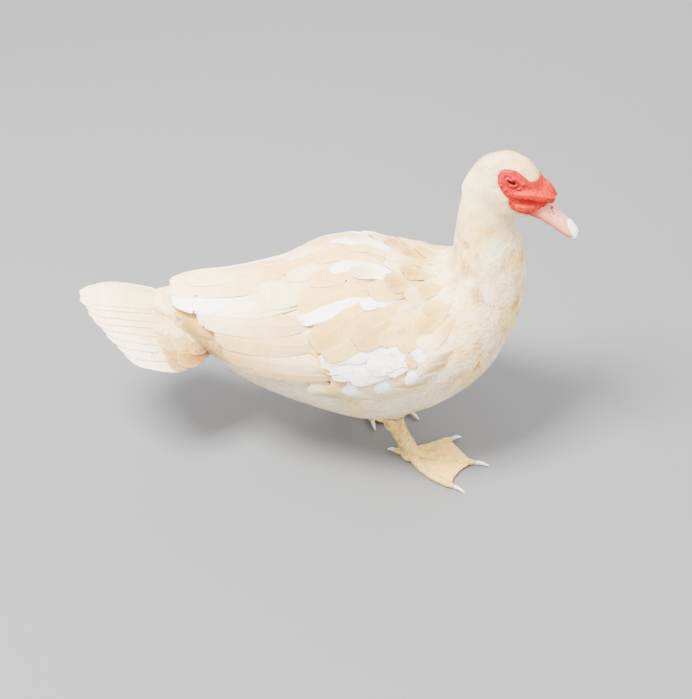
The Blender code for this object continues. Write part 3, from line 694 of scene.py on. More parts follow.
def mesh_arrays(mesh: bpy.types.Mesh) -> tuple[np.ndarray, np.ndarray]:
    """Read a mesh's points and normals.

    Args:
        mesh: The mesh.

    Returns:
        The points and the normals.
    """
    points = np.zeros(len(mesh.vertices) * 3, np.float32)
    normals = np.zeros(len(mesh.vertices) * 3, np.float32)
    mesh.vertices.foreach_get("co", points)
    mesh.vertices.foreach_get("normal", normals)
    return points.reshape(-1, 3).astype(float), normals.reshape(-1, 3).astype(float)


def write_points(mesh: bpy.types.Mesh, points: np.ndarray) -> None:
    """Move a mesh's points."""
    mesh.vertices.foreach_set("co", points.astype(np.float32).ravel())
    mesh.update()


def lofted(name: str, rings: np.ndarray) -> bpy.types.Object:
    """Skin closed rings of points, with capped ends.

    Args:
        name: The object's name.
        rings: Points by ring and place on it.

    Returns:
        The object.
    """
    count, sides, _ = rings.shape
    shape = bmesh.new()
    corners = [[shape.verts.new(point) for point in ring] for ring in rings]
    for one, two in zip(corners, corners[1:]):
        for k in range(sides):
            after = (k + 1) % sides
            shape.faces.new((one[k], one[after], two[after], two[k]))
    shape.faces.new(corners[0][::-1])
    shape.faces.new(corners[-1])
    bmesh.ops.recalc_face_normals(shape, faces=shape.faces)
    mesh = bpy.data.meshes.new(name)
    shape.to_mesh(mesh)
    shape.free()
    made = bpy.data.objects.new(name, mesh)
    bpy.context.scene.collection.objects.link(made)
    return made


def node_copy(node: str, grow: float = 0.0) -> bpy.types.Object:
    """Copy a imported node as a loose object, a little larger if asked.

    Args:
        node: The node's name.
        grow: How far its points move outward.

    Returns:
        The copy.
    """
    mesh = frame["nodes"][node].data.copy()
    mesh.materials.clear()
    shape = bmesh.new()
    shape.from_mesh(mesh)
    bmesh.ops.remove_doubles(shape, verts=shape.verts, dist=1e-6)
    shape.to_mesh(mesh)
    shape.free()
    if grow:
        points, normals = mesh_arrays(mesh)
        write_points(mesh, points + normals * grow)
    made = bpy.data.objects.new(node + "_copy", mesh)
    bpy.context.scene.collection.objects.link(made)
    return made


def fused(name: str, things: Sequence[bpy.types.Object], voxel: float, rounds: int) -> bpy.types.Object:
    """Fuse closed bodies into one even skin and smooth it.

    Args:
        name: The new object's name.
        things: The bodies, which are used up.
        voxel: The size of the skin's faces.
        rounds: How many times the skin is smoothed.

    Returns:
        The skin.
    """
    shape = bmesh.new()
    for thing in things:
        shape.from_mesh(thing.data)
        bpy.data.objects.remove(thing)
    mesh = bpy.data.meshes.new(name)
    shape.to_mesh(mesh)
    shape.free()
    made = bpy.data.objects.new(name, mesh)
    bpy.context.scene.collection.objects.link(made)
    remesh = made.modifiers.new("Even", "REMESH")
    remesh.mode = "VOXEL"
    remesh.voxel_size = voxel
    smooth = made.modifiers.new("Soft", "SMOOTH")
    smooth.factor = 0.5
    smooth.iterations = rounds
    graph = bpy.context.evaluated_depsgraph_get()
    even = bpy.data.meshes.new_from_object(made.evaluated_get(graph))
    made.modifiers.clear()
    made.data = even
    keep_largest(even)
    return made


def keep_largest(mesh: bpy.types.Mesh) -> None:
    """Keep only the part of a mesh that has the most faces."""
    shape = bmesh.new()
    shape.from_mesh(mesh)
    waiting = set(shape.verts)
    groups = []
    while waiting:
        stack = [waiting.pop()]
        group = []
        while stack:
            vert = stack.pop()
            group.append(vert)
            for edge in vert.link_edges:
                other = edge.other_vert(vert)
                if other in waiting:
                    waiting.remove(other)
                    stack.append(other)
        groups.append(group)
    groups.sort(key=len)
    loose = [vert for group in groups[:-1] for vert in group]
    bmesh.ops.delete(shape, geom=loose, context="VERTS")
    shape.to_mesh(mesh)
    shape.free()


@dataclass
class Markings:
    """Where the bird is cream, tan and white.

    Attributes:
        mottle: Noise that sets the spots of the breast and neck.
        cloud: Noise that sets the broad clouds.
    """

    mottle: SoftNoise = field(default_factory=lambda: SoftNoise(0.016, 3))
    cloud: SoftNoise = field(default_factory=lambda: SoftNoise(0.045, 8))
    fine: SoftNoise = field(default_factory=lambda: SoftNoise(0.006, 21))

    # Marks of their own: place in the drawing, radius, tan and white
    SPOTS = (
        ((0.1267, -0.0489, 0.2102), 0.0070, 0.60, -0.3),
        ((0.1350, -0.0268, 0.2685), 0.0050, 0.50, -0.3),
        ((0.1400, -0.0220, 0.2670), 0.0045, 0.50, -0.3),
        ((-0.1425, -0.0347, 0.1287), 0.0190, 0.75, -0.5),
        ((-0.1590, -0.0433, 0.1355), 0.0130, 0.60, -0.5),
        ((-0.1235, -0.0460, 0.1355), 0.0150, 0.50, -0.4),
        ((0.0014, -0.0847, 0.1085), 0.0150, 0.35, -0.3),
        ((-0.0376, -0.0750, 0.1150), 0.0120, -0.10, 0.5),
        ((0.0250, -0.0860, 0.1250), 0.0160, -0.10, 0.6),
    )

    @staticmethod
    def near(points: np.ndarray, centre: Sequence[float], radius: float) -> np.ndarray:
        """Say how near points are to a spot, the same on both sides of the bird."""
        flipped = points.copy()
        flipped[:, 1] = -np.abs(flipped[:, 1])
        gap = np.linalg.norm(flipped - (np.array(centre) + 0.0), axis=1)
        return eased((radius - gap) / (radius * 0.35) + 0.5)

    def at(self, world: np.ndarray) -> np.ndarray:
        """Read the markings.

        Args:
            world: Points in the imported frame.

        Returns:
            Tan, white and shade at each point.
        """
        points = world - SHIFT
        head = to_head(world)
        spots, clouds, fine = self.mottle.at(points), self.cloud.at(points), self.fine.at(points)
        height = points[:, 2]
        on_head = eased((height - 0.258) / 0.02)
        front = eased((points[:, 0] - 0.05) / 0.05)
        low = eased((0.150 - height) / 0.06)
        breast = (1 - on_head) * front * (1 - 0.7 * low)
        tan = 0.14 + 0.08 * clouds + 0.10 * eased(spots / 1.5)
        tan += breast * (0.10 + 0.75 * eased((spots - 0.10) / 1.4))
        crown = on_head * eased((head[:, 2] - 0.002) / 0.02) * eased((0.046 - head[:, 0]) / 0.02 + 0.5)
        tan += crown * (0.16 + 0.50 * eased((fine - 0.1) / 1.4))
        rear = eased((-0.02 - points[:, 0]) / 0.06)
        tan += 0.30 * rear * eased((spots + 0.1) / 1.3)
        white = 0.16 + 0.12 * clouds + 0.30 * on_head * (1 - crown)
        white += 0.45 * low + 0.25 * rear * (1 - eased((spots + 0.2) / 1.2))
        white += breast * 0.40 * eased((-spots - 0.1) / 1.2)
        for centre, radius, more_tan, more_white in self.SPOTS:
            near = self.near(points, centre, radius) * (0.75 + 0.25 * np.clip(fine, -1, 1))
            tan += more_tan * near
            white += more_white * near
        # The shade holds random tone from the noise, and painted shade that darkens the lower body.
        shade = 0.50 + 0.14 * fine + 0.14 * spots - 0.10 * low
        return np.clip(np.stack([tan, white, shade], -1), 0.0, 1.0)


# The edge of the bare face in the head's frame, seen from the side
FACE_OUTLINE = (
    (0.0118, 0.0190), (0.0150, 0.0242), (0.0200, 0.0260), (0.0285, 0.0250), (0.0355, 0.0205),
    (0.0420, 0.0145), (0.0468, 0.0145), (0.0508, 0.0175), (0.0760, 0.0200), (0.0760, -0.0400),
    (0.0490, -0.0400), (0.0430, -0.0230), (0.0330, -0.0180), (0.0262, -0.0125), (0.0240, -0.0065),
    (0.0245, -0.0020), (0.0200, 0.0020), (0.0155, 0.0075), (0.0125, 0.0130),
)


def inside_face(world: np.ndarray) -> np.ndarray:
    """Say which points lie within the bare face.

    Args:
        world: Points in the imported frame.

    Returns:
        How deep inside the face's edge each point lies, negative outside, in metres.
    """
    head = to_head(world)
    flat = head[:, [0, 2]]
    edge = np.array(FACE_OUTLINE)
    after = np.roll(edge, -1, axis=0)
    crossings = np.zeros(len(flat), int)
    nearest = np.full(len(flat), 1.0)
    for one, two in zip(edge, after):
        way = two - one
        share = np.clip(((flat - one) @ way) / (way @ way), 0, 1)
        nearest = np.minimum(nearest, np.linalg.norm(flat - one - share[:, None] * way, axis=1))
        spans = (one[1] > flat[:, 1]) != (two[1] > flat[:, 1])
        rise = two[1] - one[1] if two[1] != one[1] else 1e-9
        crossings += spans & (flat[:, 0] < one[0] + (flat[:, 1] - one[1]) / rise * way[0])
    inside = np.where(crossings % 2 == 1, nearest, -nearest)
    return np.where(points_of_head(world), inside, -1.0)


def points_of_head(world: np.ndarray) -> np.ndarray:
    """Say which points belong to the head rather than the neck."""
    return (world[:, 2] > 0.262) & (to_head(world)[:, 0] > -0.03)


@dataclass
class Hide:
    """A smooth surface on which feathers are laid.

    Attributes:
        points: Its points.
        normals: Its outward ways at them.
        faces: Its faces.
    """

    points: np.ndarray
    normals: np.ndarray
    faces: list

    def __post_init__(self) -> None:
        """Build the lookup of its nearest points."""
        self.tree = BVHTree.FromPolygons([tuple(point) for point in self.points], self.faces)

    @classmethod
    def of(cls, mesh: bpy.types.Mesh) -> "Hide":
        """Read a mesh's surface."""
        return cls(*mesh_arrays(mesh), [tuple(face.vertices) for face in mesh.polygons])

    def lay(self, points: np.ndarray) -> tuple[np.ndarray, np.ndarray]:
        """Lay points on the surface.

        Args:
            points: Points near it.

        Returns:
            The points on it and its outward ways there.
        """
        found = [self.tree.find_nearest(tuple(point)) for point in points]
        return np.array([hit[0] for hit in found]), np.array([hit[1] for hit in found])


@dataclass
class Skin:
    """One skin under the whole coat, and the surfaces on which the coat lies.

    Attributes:
        voxel: The size of its faces.
        rounds: How often it is smoothed.
        nodes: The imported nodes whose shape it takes.
        bare: The nodes whose shape the rump's feathers follow under the wings.
        tail_core: Places, heights and half widths of the fleshy tail.
        depths: How deep the skin lies under the coat at the head, neck and body.
    """

    voxel: float = 0.0024
    rounds: int = 14
    nodes: tuple = ("torso", "neck", "head", "face", "thigh_left", "thigh_right", "wing_left", "wing_right")
    bare: tuple = ("torso", "neck", "thigh_left", "thigh_right")
    tail_core: tuple = (
        (-0.104, 0.1378, 0.0480, 0.0520), (-0.118, 0.1412, 0.0430, 0.0472), (-0.138, 0.1463, 0.0353, 0.0400),
        (-0.157, 0.1535, 0.0260, 0.0320), (-0.176, 0.1605, 0.0165, 0.0240), (-0.192, 0.1660, 0.0075, 0.0160),
    )
    depths: tuple = (0.0010, 0.0017, 0.0024)

    def tail(self) -> bpy.types.Object:
        """Build the fleshy root of the tail."""
        places = np.linspace(self.tail_core[0][0], self.tail_core[-1][0], 9)
        table = [(-row[0], *row[1:]) for row in self.tail_core]
        turn = np.linspace(0, 2 * math.pi, 24, endpoint=False)
        rings = []
        for place in places:
            middle, high, wide = through(table, np.array([-place]))[0]
            ring = np.stack([
                np.full(24, place), wide * np.cos(turn), middle + high * np.sin(turn),
            ], -1)
            rings.append(ring + SHIFT)
        return lofted("tail_core", np.array(rings))

    def depth(self, world: np.ndarray) -> np.ndarray:
        """Say how deep the skin lies under the coat's surface."""
        head, neck, body = self.depths
        up = eased((world[:, 2] - 0.19) / 0.05)
        high = eased((world[:, 2] - 0.255) / 0.02)
        deep = body + (neck - body) * up
        deep = deep + (head - deep) * high
        return deep + 0.006 * eased(inside_face(world) / 0.0025)

    def build(self, markings: Markings) -> bpy.types.Object:
        """Build the skin and keep the coat's surface for the feathers.

        Args:
            markings: The bird's markings.

        Returns:
            The skin.
        """
        body = fused("body", [*(node_copy(node, 0.0003) for node in self.bare), self.tail()], 0.004, 14)
        self.under = Hide.of(body.data)
        bpy.data.objects.remove(body)
        things = [node_copy(node, 0.0003) for node in self.nodes]
        made = fused("skin", [*things, self.tail()], self.voxel, self.rounds)
        self.coat = Hide.of(made.data)
        points, normals = self.coat.points, self.coat.normals
        write_points(made.data, points - normals * self.depth(points)[:, None])
        self.unwrap(made)
        store_marks(made.data, markings.at(points))
        made.data.shade_smooth()
        finish = PlumageFinish("skin_down", "plumage", vaned=False, roughness=0.9, white=(0.98, 0.90, 0.70))
        made.data.materials.clear()
        made.data.materials.append(finish.make())
        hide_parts("torso", "neck", "head", "thigh_left", "thigh_right")
        return settle(made)

    def unwrap(self, made: bpy.types.Object) -> None:
        """Unwrap the skin's own shape and keep a lookup of its places."""
        bpy.context.view_layer.objects.active = made
        made.select_set(True)
        made.data.uv_layers.new(name="OFBake")
        bpy.ops.object.mode_set(mode="EDIT")
        bpy.ops.mesh.select_all(action="SELECT")
        bpy.ops.uv.smart_project(angle_limit=math.radians(66), island_margin=0.004)
        bpy.ops.object.mode_set(mode="OBJECT")
        made.select_set(False)
        layer = made.data.uv_layers["OFBake"]
        flat = np.zeros(len(made.data.loops) * 2, np.float32)
        layer.data.foreach_get("uv", flat)
        flat = flat.reshape(-1, 2)
        starts = np.zeros(len(made.data.polygons), np.int32)
        made.data.polygons.foreach_get("loop_start", starts)
        totals = np.zeros(len(made.data.polygons), np.int32)
        made.data.polygons.foreach_get("loop_total", totals)
        self.face_places = np.array([flat[start:start + total].mean(0) for start, total in zip(starts, totals)])

    def place_of(self, points: np.ndarray) -> np.ndarray:
        """Find the places of points on the unwrapped skin.

        Args:
            points: Points near the skin.

        Returns:
            Their places on its unwrap.
        """
        found = [self.coat.tree.find_nearest(tuple(point))[2] for point in points]
        return self.face_places[found]


class Lie:
    """Which way the feathers lie, from the bill to the tail."""

    # Place in the drawing, and the way in which feathers lie there
    GUIDES = (
        ((0.168, -0.009, 0.325), (-0.75, 0.20, 0.55)),
        ((0.150, -0.004, 0.337), (-0.95, 0.25, 0.15)),
        ((0.130, 0.000, 0.338), (-0.97, 0.25, -0.20)),
        ((0.108, 0.006, 0.320), (-0.45, 0.12, -0.90)),
        ((0.140, 0.000, 0.300), (-0.85, 0.20, -0.50)),
        ((0.155, -0.006, 0.280), (-0.90, 0.20, -0.30)),
        ((0.145, 0.000, 0.262), (-0.40, 0.05, -0.92)),
        ((0.112, 0.000, 0.275), (-0.10, 0.00, -1.00)),
        ((0.135, 0.000, 0.240), (0.00, 0.00, -1.00)),
        ((0.105, 0.000, 0.225), (-0.30, 0.00, -0.95)),
        ((0.165, 0.000, 0.200), (0.00, 0.00, -1.00)),
        ((0.155, 0.000, 0.140), (-0.45, 0.00, -0.85)),
        ((0.120, 0.000, 0.085), (-0.90, 0.00, -0.35)),
        ((0.085, 0.000, 0.210), (-0.98, 0.00, -0.10)),
        ((0.110, -0.075, 0.150), (-0.75, 0.00, -0.60)),
        ((0.110, 0.075, 0.150), (-0.75, 0.00, -0.60)),
        ((0.050, -0.090, 0.110), (-0.95, 0.00, -0.20)),
        ((0.050, 0.090, 0.110), (-0.95, 0.00, -0.20)),
        ((0.040, 0.000, 0.045), (-1.00, 0.00, 0.00)),
        ((-0.030, 0.000, 0.060), (-1.00, 0.00, 0.15)),
        ((-0.090, 0.000, 0.090), (-0.95, 0.00, 0.35)),
        ((-0.150, 0.000, 0.145), (-0.95, 0.00, 0.25)),
        ((0.000, 0.000, 0.215), (-1.00, 0.00, -0.05)),
        ((-0.100, 0.000, 0.190), (-1.00, 0.00, 0.00)),
    )
    REACH = 0.024

    @classmethod
    def at(cls, world: np.ndarray, ways: np.ndarray) -> np.ndarray:
        """Find the lie of the coat.

        Args:
            world: Points on the coat's surface.
            ways: Its outward ways there.

        Returns:
            The way along the surface in which each feather points.
        """
        places = np.array([guide[0] for guide in cls.GUIDES]) + SHIFT
        flows = np.array([guide[1] for guide in cls.GUIDES])
        gaps = np.linalg.norm(world[:, None] - places[None], axis=2)
        weights = np.exp(-((gaps / cls.REACH) ** 2) / 2) + 1e-9 / gaps ** 2
        flow = (weights[:, :, None] * flows[None]).sum(1)
        flow -= (flow * ways).sum(1, keepdims=True) * ways
        return unit(flow)


@dataclass
class Tract:
    """A region of small feathers that share their size.

    Attributes:
        name: The piece's name.
        length: A feather's length.
        half: Its half width.
        spacing: The distance between roots.
        lift: How far its tip stands over the coat's surface.
        stations: Points along a feather.
        across: Points across it.
        spread: How much the ways of neighbours differ, in radians.
        where: Says which points belong to the region.
        seed: The seed of the draw.
        fray: How ragged the tips are, as a share of the length.
        fringe: How much whiter the margins are.
        uneven: How much neighbours differ in shade.
        point: How wide the tips are, as a share of the width.
        under: Whether they lie on the body under the wings.
    """

    name: str
    length: float
    half: float
    spacing: float
    lift: float
    stations: int
    across: int
    spread: float
    where: Callable[[np.ndarray], np.ndarray]
    seed: int
    fray: float = 0.06
    fringe: float = 0.20
    uneven: float = 0.10
    point: float = 0.42
    under: bool = False

    def roots(self, hide: Hide) -> tuple[np.ndarray, np.ndarray]:
        """Scatter the roots evenly over the region.

        Args:
            hide: The surface on which the feathers lie.

        Returns:
            The roots on the coat's surface and its outward ways there.
        """
        seeded = np.random.default_rng(self.seed)
        quads = np.array([face for face in hide.faces if len(face) == 4])
        corners = hide.points[quads]
        middles = corners.mean(1)
        inside = self.where(middles - SHIFT) & (inside_face(middles) < 0.0006)
        quads, corners = quads[inside], corners[inside]
        areas = np.linalg.norm(np.cross(corners[:, 2] - corners[:, 0], corners[:, 3] - corners[:, 1]), axis=1) / 2
        wanted = int(areas.sum() / self.spacing ** 2 * 7)
        picked = seeded.choice(len(quads), wanted, p=areas / areas.sum())
        right, up = seeded.random((2, wanted, 1))
        chosen = corners[picked]
        near = chosen[:, 0] * (1 - right) + chosen[:, 1] * right
        far = chosen[:, 3] * (1 - right) + chosen[:, 2] * right
        points = near * (1 - up) + far * up
        ways = unit(hide.normals[quads[picked]].mean(1))
        tree = KDTree(wanted)
        for k, point in enumerate(points):
            tree.insert(point, k)
        tree.balance()
        gone = np.zeros(wanted, bool)
        kept = []
        for k, point in enumerate(points):
            if gone[k]:
                continue
            kept.append(k)
            for _, other, _ in tree.find_range(point, self.spacing):
                gone[other] = True
        return points[kept], ways[kept]

    def build(self, skin: Skin, markings: Markings, finish: Finish,
              material: bpy.types.Material) -> bpy.types.Object:
        """Build the region's feathers.

        Args:
            skin: The skin with the coat's surface.
            markings: The bird's markings.
            finish: The feathers' finish.
            material: Its material.

        Returns:
            The piece.
        """
        seeded = np.random.default_rng(self.seed + 100)
        hide = skin.under if self.under else skin.coat
        roots, ways = self.roots(hide)
        flow = Lie.at(roots, ways)
        clear = inside_face(roots + flow * self.length) < 0.0005
        clear &= inside_face(roots + flow * 0.5 * self.length) < 0.0003
        roots, ways, flow = roots[clear], ways[clear], flow[clear]
        count = len(roots)
        aside = np.cross(ways, flow)
        swing = seeded.normal(0.0, self.spread, (count, 1))
        flow = unit(flow * np.cos(swing) + aside * np.sin(swing))
        length = self.length * seeded.uniform(0.85, 1.15, (count, 1))
        half = self.half * seeded.uniform(0.85, 1.15, (count, 1))
        lift = self.lift * seeded.uniform(0.7, 1.3, (count, 1))
        depth = skin.depth(roots)[:, None]
        shares = np.linspace(0.0, 1.0, self.stations) ** 0.85
        rises = np.interp(shares, (0.0, 0.3, 1.0), (-1.0, -0.42, 0.0))
        plan = np.interp(shares, (0.0, 0.25, 0.55, 0.8, 0.93, 1.0), (0.35, 0.80, 1.0, 0.92, 0.42 + 0.75 * self.point, self.point))
        slots = np.linspace(-1.0, 1.0, self.across)
        tops = np.zeros((count, self.stations, self.across, 3))
        unders = np.zeros_like(tops)
        spot = roots.copy()
        before = 0.0
        for k, share in enumerate(shares):
            spot = spot + flow * length * (share - before)
            before = share
            spot, up = hide.lay(spot)
            flow = unit(flow - (flow * up).sum(1, keepdims=True) * up)
            side = np.cross(up, flow)
            rise = depth * rises[k] + lift * share
            wavy = 1 + 0.06 * seeded.normal(size=(count, 1))
            for j, slot in enumerate(slots):
                ragged = length * self.fray * seeded.uniform(-1.0, 1.0, (count, 1)) * eased((share - 0.7) / 0.3)
                rounding = -0.5 * half * slot * slot * share ** 4
                sag = 0.02 * half * slot * slot + (half * slot * plan[k]) ** 2 / 0.18
                out = spot + side * (half * slot * plan[k] * wavy) + up * (rise - sag)
                tops[:, k, j] = out + flow * (ragged + rounding)
                unders[:, k, j] = tops[:, k, j] - up * (0.02 * half * (1 - slot * slot) + 0.00002)
        marks = self.shading(markings, roots, tops, seeded)
        draft = Draft(self.name)
        draft.add_leaves(tops, unders, skin.place_of(roots), marks)
        LOG.info("%s: %d feathers", self.name, count)
        return draft.build(finish, material)

    def shading(self, markings: Markings, roots: np.ndarray, tops: np.ndarray,
                seeded: np.random.Generator) -> np.ndarray:
        """Work out the marks of the feathers: paler at their margins, with painted light there and painted shade
        towards their roots.

        Args:
            markings: The bird's markings.
            roots: The roots of the feathers.
            tops: Points of their upper faces.
            seeded: The source of small differences.

        Returns:
            The marks of each point.
        """
        count, stations, across, _ = tops.shape
        own = markings.at(roots + (tops[:, -1, across // 2] - roots) * 0.6)
        here = markings.at(tops.reshape(-1, 3)).reshape(count, stations, across, 3)
        marks = 0.6 * own[:, None, None] + 0.4 * here
        along = np.linspace(0, 1, stations)[None, :, None]
        margin = np.abs(np.linspace(-1, 1, across))[None, None] ** 2
        fringe = np.maximum(eased((along - 0.72) / 0.28), 0.6 * margin)
        # A pale fringe of their own: less tan and more white at the margins and tip.
        marks[..., 0] *= 1.12 - 0.5 * fringe
        marks[..., 1] += self.fringe * fringe
        # Painted shade darkens each feather towards its root, where the feathers above cover it, and painted light
        # brightens its margins and tip; the rest of the shade is random tone.
        marks[..., 2] += seeded.normal(0, self.uneven, (count, 1, 1)) + 0.12 * fringe - 0.25 * (1 - along)
        return np.clip(marks, 0.0, 1.0).reshape(count, stations * across, 3)


@dataclass
class Envelope:
    """The smooth surface of the folded wings, by place along the bird and angle round it.

    Attributes:
        side: Which wing.
        rows: Place along the bird, height of the middle, half height and half width.
    """

    side: Side
    rows: tuple = (
        (-0.210, 0.177, 0.005, 0.008), (-0.185, 0.168, 0.012, 0.018), (-0.155, 0.159, 0.027, 0.037),
        (-0.114, 0.141, 0.049, 0.056), (-0.066, 0.136, 0.065, 0.077), (-0.018, 0.138, 0.082, 0.093),
        (0.006, 0.137, 0.088, 0.0975), (0.054, 0.134, 0.081, 0.0985), (0.080, 0.137, 0.072, 0.096),
        (0.1015, 0.142, 0.064, 0.0925), (0.130, 0.155, 0.058, 0.083),
    )

    def spot(self, place: np.ndarray, angle: np.ndarray) -> np.ndarray:
        """Find points of the surface.

        Args:
            place: Places along the bird.
            angle: Angles in degrees, from the side up to the back.

        Returns:
            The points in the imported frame.
        """
        row = through(self.rows, place)
        turn = np.radians(angle)
        return np.stack([
            place,
            self.side.value * row[..., 2] * np.cos(turn),
            row[..., 0] + row[..., 1] * np.sin(turn),
        ], -1) + SHIFT


@dataclass
class Fan:
    """The arched surface of the tail, by share along it and across it.

    Attributes:
        root: The root of the middle feather.
        tip: Its tip.
        half: Half widths at the roots and the tips.
        root_drop: How far the outermost root lies lower.
        tip_drop: How far the outermost tip lies lower.
        shorter: How much shorter the outermost feather is.
    """

    root: tuple = (-0.134, 0.0, 0.1660)
    tip: tuple = (-0.264, 0.0, 0.1712)
    half: tuple = (0.030, 0.060)
    root_drop: float = 0.0420
    tip_drop: float = 0.0325
    shorter: float = 0.053

    def spot(self, along: np.ndarray, across: np.ndarray) -> np.ndarray:
        """Find points of the surface.

        Args:
            along: Shares from root to tip.
            across: Shares from the middle to each side, in hundredths.

        Returns:
            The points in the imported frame.
        """
        across = across / 100.0
        spread = np.abs(across)
        end = self.tip[0] + self.shorter * spread ** 1.7
        wide = self.half[0] + (self.half[1] - self.half[0]) * np.sqrt(np.maximum(along, 0.0))
        low = self.root[2] - self.root_drop * spread ** 2
        high = self.tip[2] - self.tip_drop * spread ** 2
        return np.stack([
            self.root[0] + (end - self.root[0]) * along,
            wide * across,
            low + (high - low) * along - 0.004 * np.sin(math.pi * along),
        ], -1) + SHIFT


@dataclass
class Quill:
    """One large feather that lies on a curved surface.

    Attributes:
        path: Places of its shaft on the surface, from root to tip.
        half: Its half width.
        base: Height of its root over the surface.
        top: Height of its tip.
        tilt: How much its last edge stands higher than its first.
        marks: Its tan, white and shade.
        tip_marks: The same at its tip.
        taper: Where its tip begins to round off.
        blunt: How blunt its tip is.
        splits: How many splits its edges have.
        seed: The seed of the draw.
        stations: Points along it.
        laid_from: The angle from which it follows the smooth surface rather than the wing's own.
    """

    path: Sequence[tuple[float, float]]
    half: float
    base: float
    top: float
    tilt: float = 0.0
    marks: tuple = (0.1, 0.1, 0.5)
    tip_marks: tuple | None = None
    taper: float = 0.55
    blunt: float = 2.2
    splits: int = 2
    seed: int = 0
    stations: int = 30
    laid_from: float = 28.0

    SLOTS = (-1.0, -0.93, -0.78, -0.55, -0.30, -0.08, 0.0, 0.08, 0.30, 0.55, 0.78, 0.93, 1.0)
    SOFT = 0.0008

    def outline(self, share: np.ndarray, seeded: np.random.Generator) -> tuple[np.ndarray, np.ndarray]:
        """Work out how far the edges reach and how far the barbs lead to the tip.

        Args:
            share: Shares along the feather.
            seeded: The source of small differences.

        Returns:
            The reach of each point from the shaft, and its shift along the feather.
        """
        slots = np.array(self.SLOTS)
        widen = 0.42 + 0.58 * eased(share / 0.40)
        rounded = np.clip((share - self.taper) / (1 - self.taper), 0, 1) ** self.blunt
        plan = self.half * widen * np.sqrt(np.maximum(1 - rounded, 0.0))
        plan = np.maximum(plan, 0.03 * self.half)
        reach = plan[:, None] * slots[None] * (1 + 0.008 * seeded.normal(size=(len(share), len(slots))))
        lead = 0.9 * self.half * np.abs(slots)[None] ** 1.2 * np.sin(math.pi * share[:, None]) ** 0.7
        for _ in range(self.splits):
            at = int(seeded.integers(int(self.stations * 0.40), self.stations - 4))
            right = seeded.random() < 0.5
            outer = slice(0, 2) if right else slice(len(slots) - 2, len(slots))
            depth = seeded.uniform(0.80, 0.90)
            reach[at, outer] *= depth
            lead[at, outer] += 0.02 * self.half
            lead[at + 1, outer] -= 0.10 * self.half
            lead[at - 1, outer] += 0.10 * self.half
        return reach, lead

    def heights(self, share: np.ndarray, reach: np.ndarray, seeded: np.random.Generator) -> np.ndarray:
        """Work out the heights of the upper face over the surface."""
        slots = np.array(self.SLOTS)
        along = share[:, None]
        height = self.top - (self.top - self.base) * (1 - along) ** 2.2
        height = height + self.tilt * reach / self.half
        height = height - 0.035 * self.half * slots[None] ** 2
        ridge = np.exp(-((slots / 0.07) ** 2))[None] * 0.00030 * (1.15 - along)
        rows = seeded.normal(0, 0.00003, (len(share), 1)) * np.abs(slots)[None]
        ripple = 0.00012 * np.sin(9 * along + 3 * slots[None] + self.seed)
        return height + ridge + rows + ripple

    @staticmethod
    def outward(flat: np.ndarray) -> np.ndarray:
        """Find the outward ways of a grid of points on the bird."""
        ways = unit(np.cross(np.gradient(flat, axis=0), np.gradient(flat, axis=1)))
        out = flat.mean((0, 1)) - SHIFT
        return ways if ways.mean((0, 1)) @ np.array([0.0, out[1], 0.1]) > 0 else -ways

    def grids(self, surface: object, hide: Hide | None) -> tuple[np.ndarray, np.ndarray, np.ndarray]:
        """Work out the feather's points.

        Args:
            surface: The surface on which it lies.
            hide: A smooth surface on which it is also laid.

        Returns:
            The upper points, the lower points and the marks.
        """
        seeded = np.random.default_rng(self.seed)
        share = np.linspace(0.0, 1.0, self.stations) ** 0.92
        keys = np.linspace(0.0, 1.0, len(self.path))
        places = through(np.column_stack([keys, np.array(self.path, float)]), share)
        first, second = places[:, 0], places[:, 1]
        step = 1e-4
        here = surface.spot(first, second)
        size_a = np.linalg.norm((surface.spot(first + step, second) - here) / step, axis=1)
        size_b = np.linalg.norm((surface.spot(first, second + step) - here) / step, axis=1)
        run = unit(np.gradient(places, axis=0) * np.stack([size_a, size_b], -1))
        reach, lead = self.outline(share, seeded)
        grid_a = first[:, None] + (-run[:, 1:] * reach + run[:, :1] * lead) / size_a[:, None]
        grid_b = second[:, None] + (run[:, :1] * reach + run[:, 1:] * lead) / size_b[:, None]
        flat = surface.spot(grid_a, grid_b)
        ways = self.outward(flat)
        if hide:
            share_laid = eased((grid_b - self.laid_from) / 12.0)[..., None]
            laid = hide.lay(flat.reshape(-1, 3))[0].reshape(flat.shape)
            above = ((laid - flat) * ways).sum(-1, keepdims=True)
            raised = ways * (above + np.sqrt(above ** 2 + self.SOFT ** 2)) / 2
            flat = flat + (laid - flat) * share_laid + raised * (1 - share_laid)
            ways = self.outward(flat)
        slots = np.array(self.SLOTS)
        top = flat + ways * self.heights(share, reach, seeded)[..., None]
        thick = 0.00030 * (1 - 0.5 * share[:, None]) * (1 - 0.6 * slots[None] ** 2)
        under = top - ways * thick[..., None]
        start = np.array(self.marks, float)
        end = start if self.tip_marks is None else np.array(self.tip_marks, float)
        blend = eased((share - 0.30) / 0.55)[:, None, None]
        marks = start * (1 - blend) + end * blend + np.zeros((self.stations, len(slots), 3))
        margin = np.maximum(np.abs(slots)[None] ** 3, eased((share[:, None] - 0.86) / 0.14))
        marks[..., 0] *= 1.1 - 0.35 * margin
        marks[..., 1] += 0.12 * margin
        # Random tone, and painted shade that darkens the feather towards its root, where the feathers above cover it.
        marks[..., 2] += 0.05 * seeded.normal(size=marks.shape[:2]) - 0.30 * (1 - share[:, None]) ** 2
        return top, under, marks


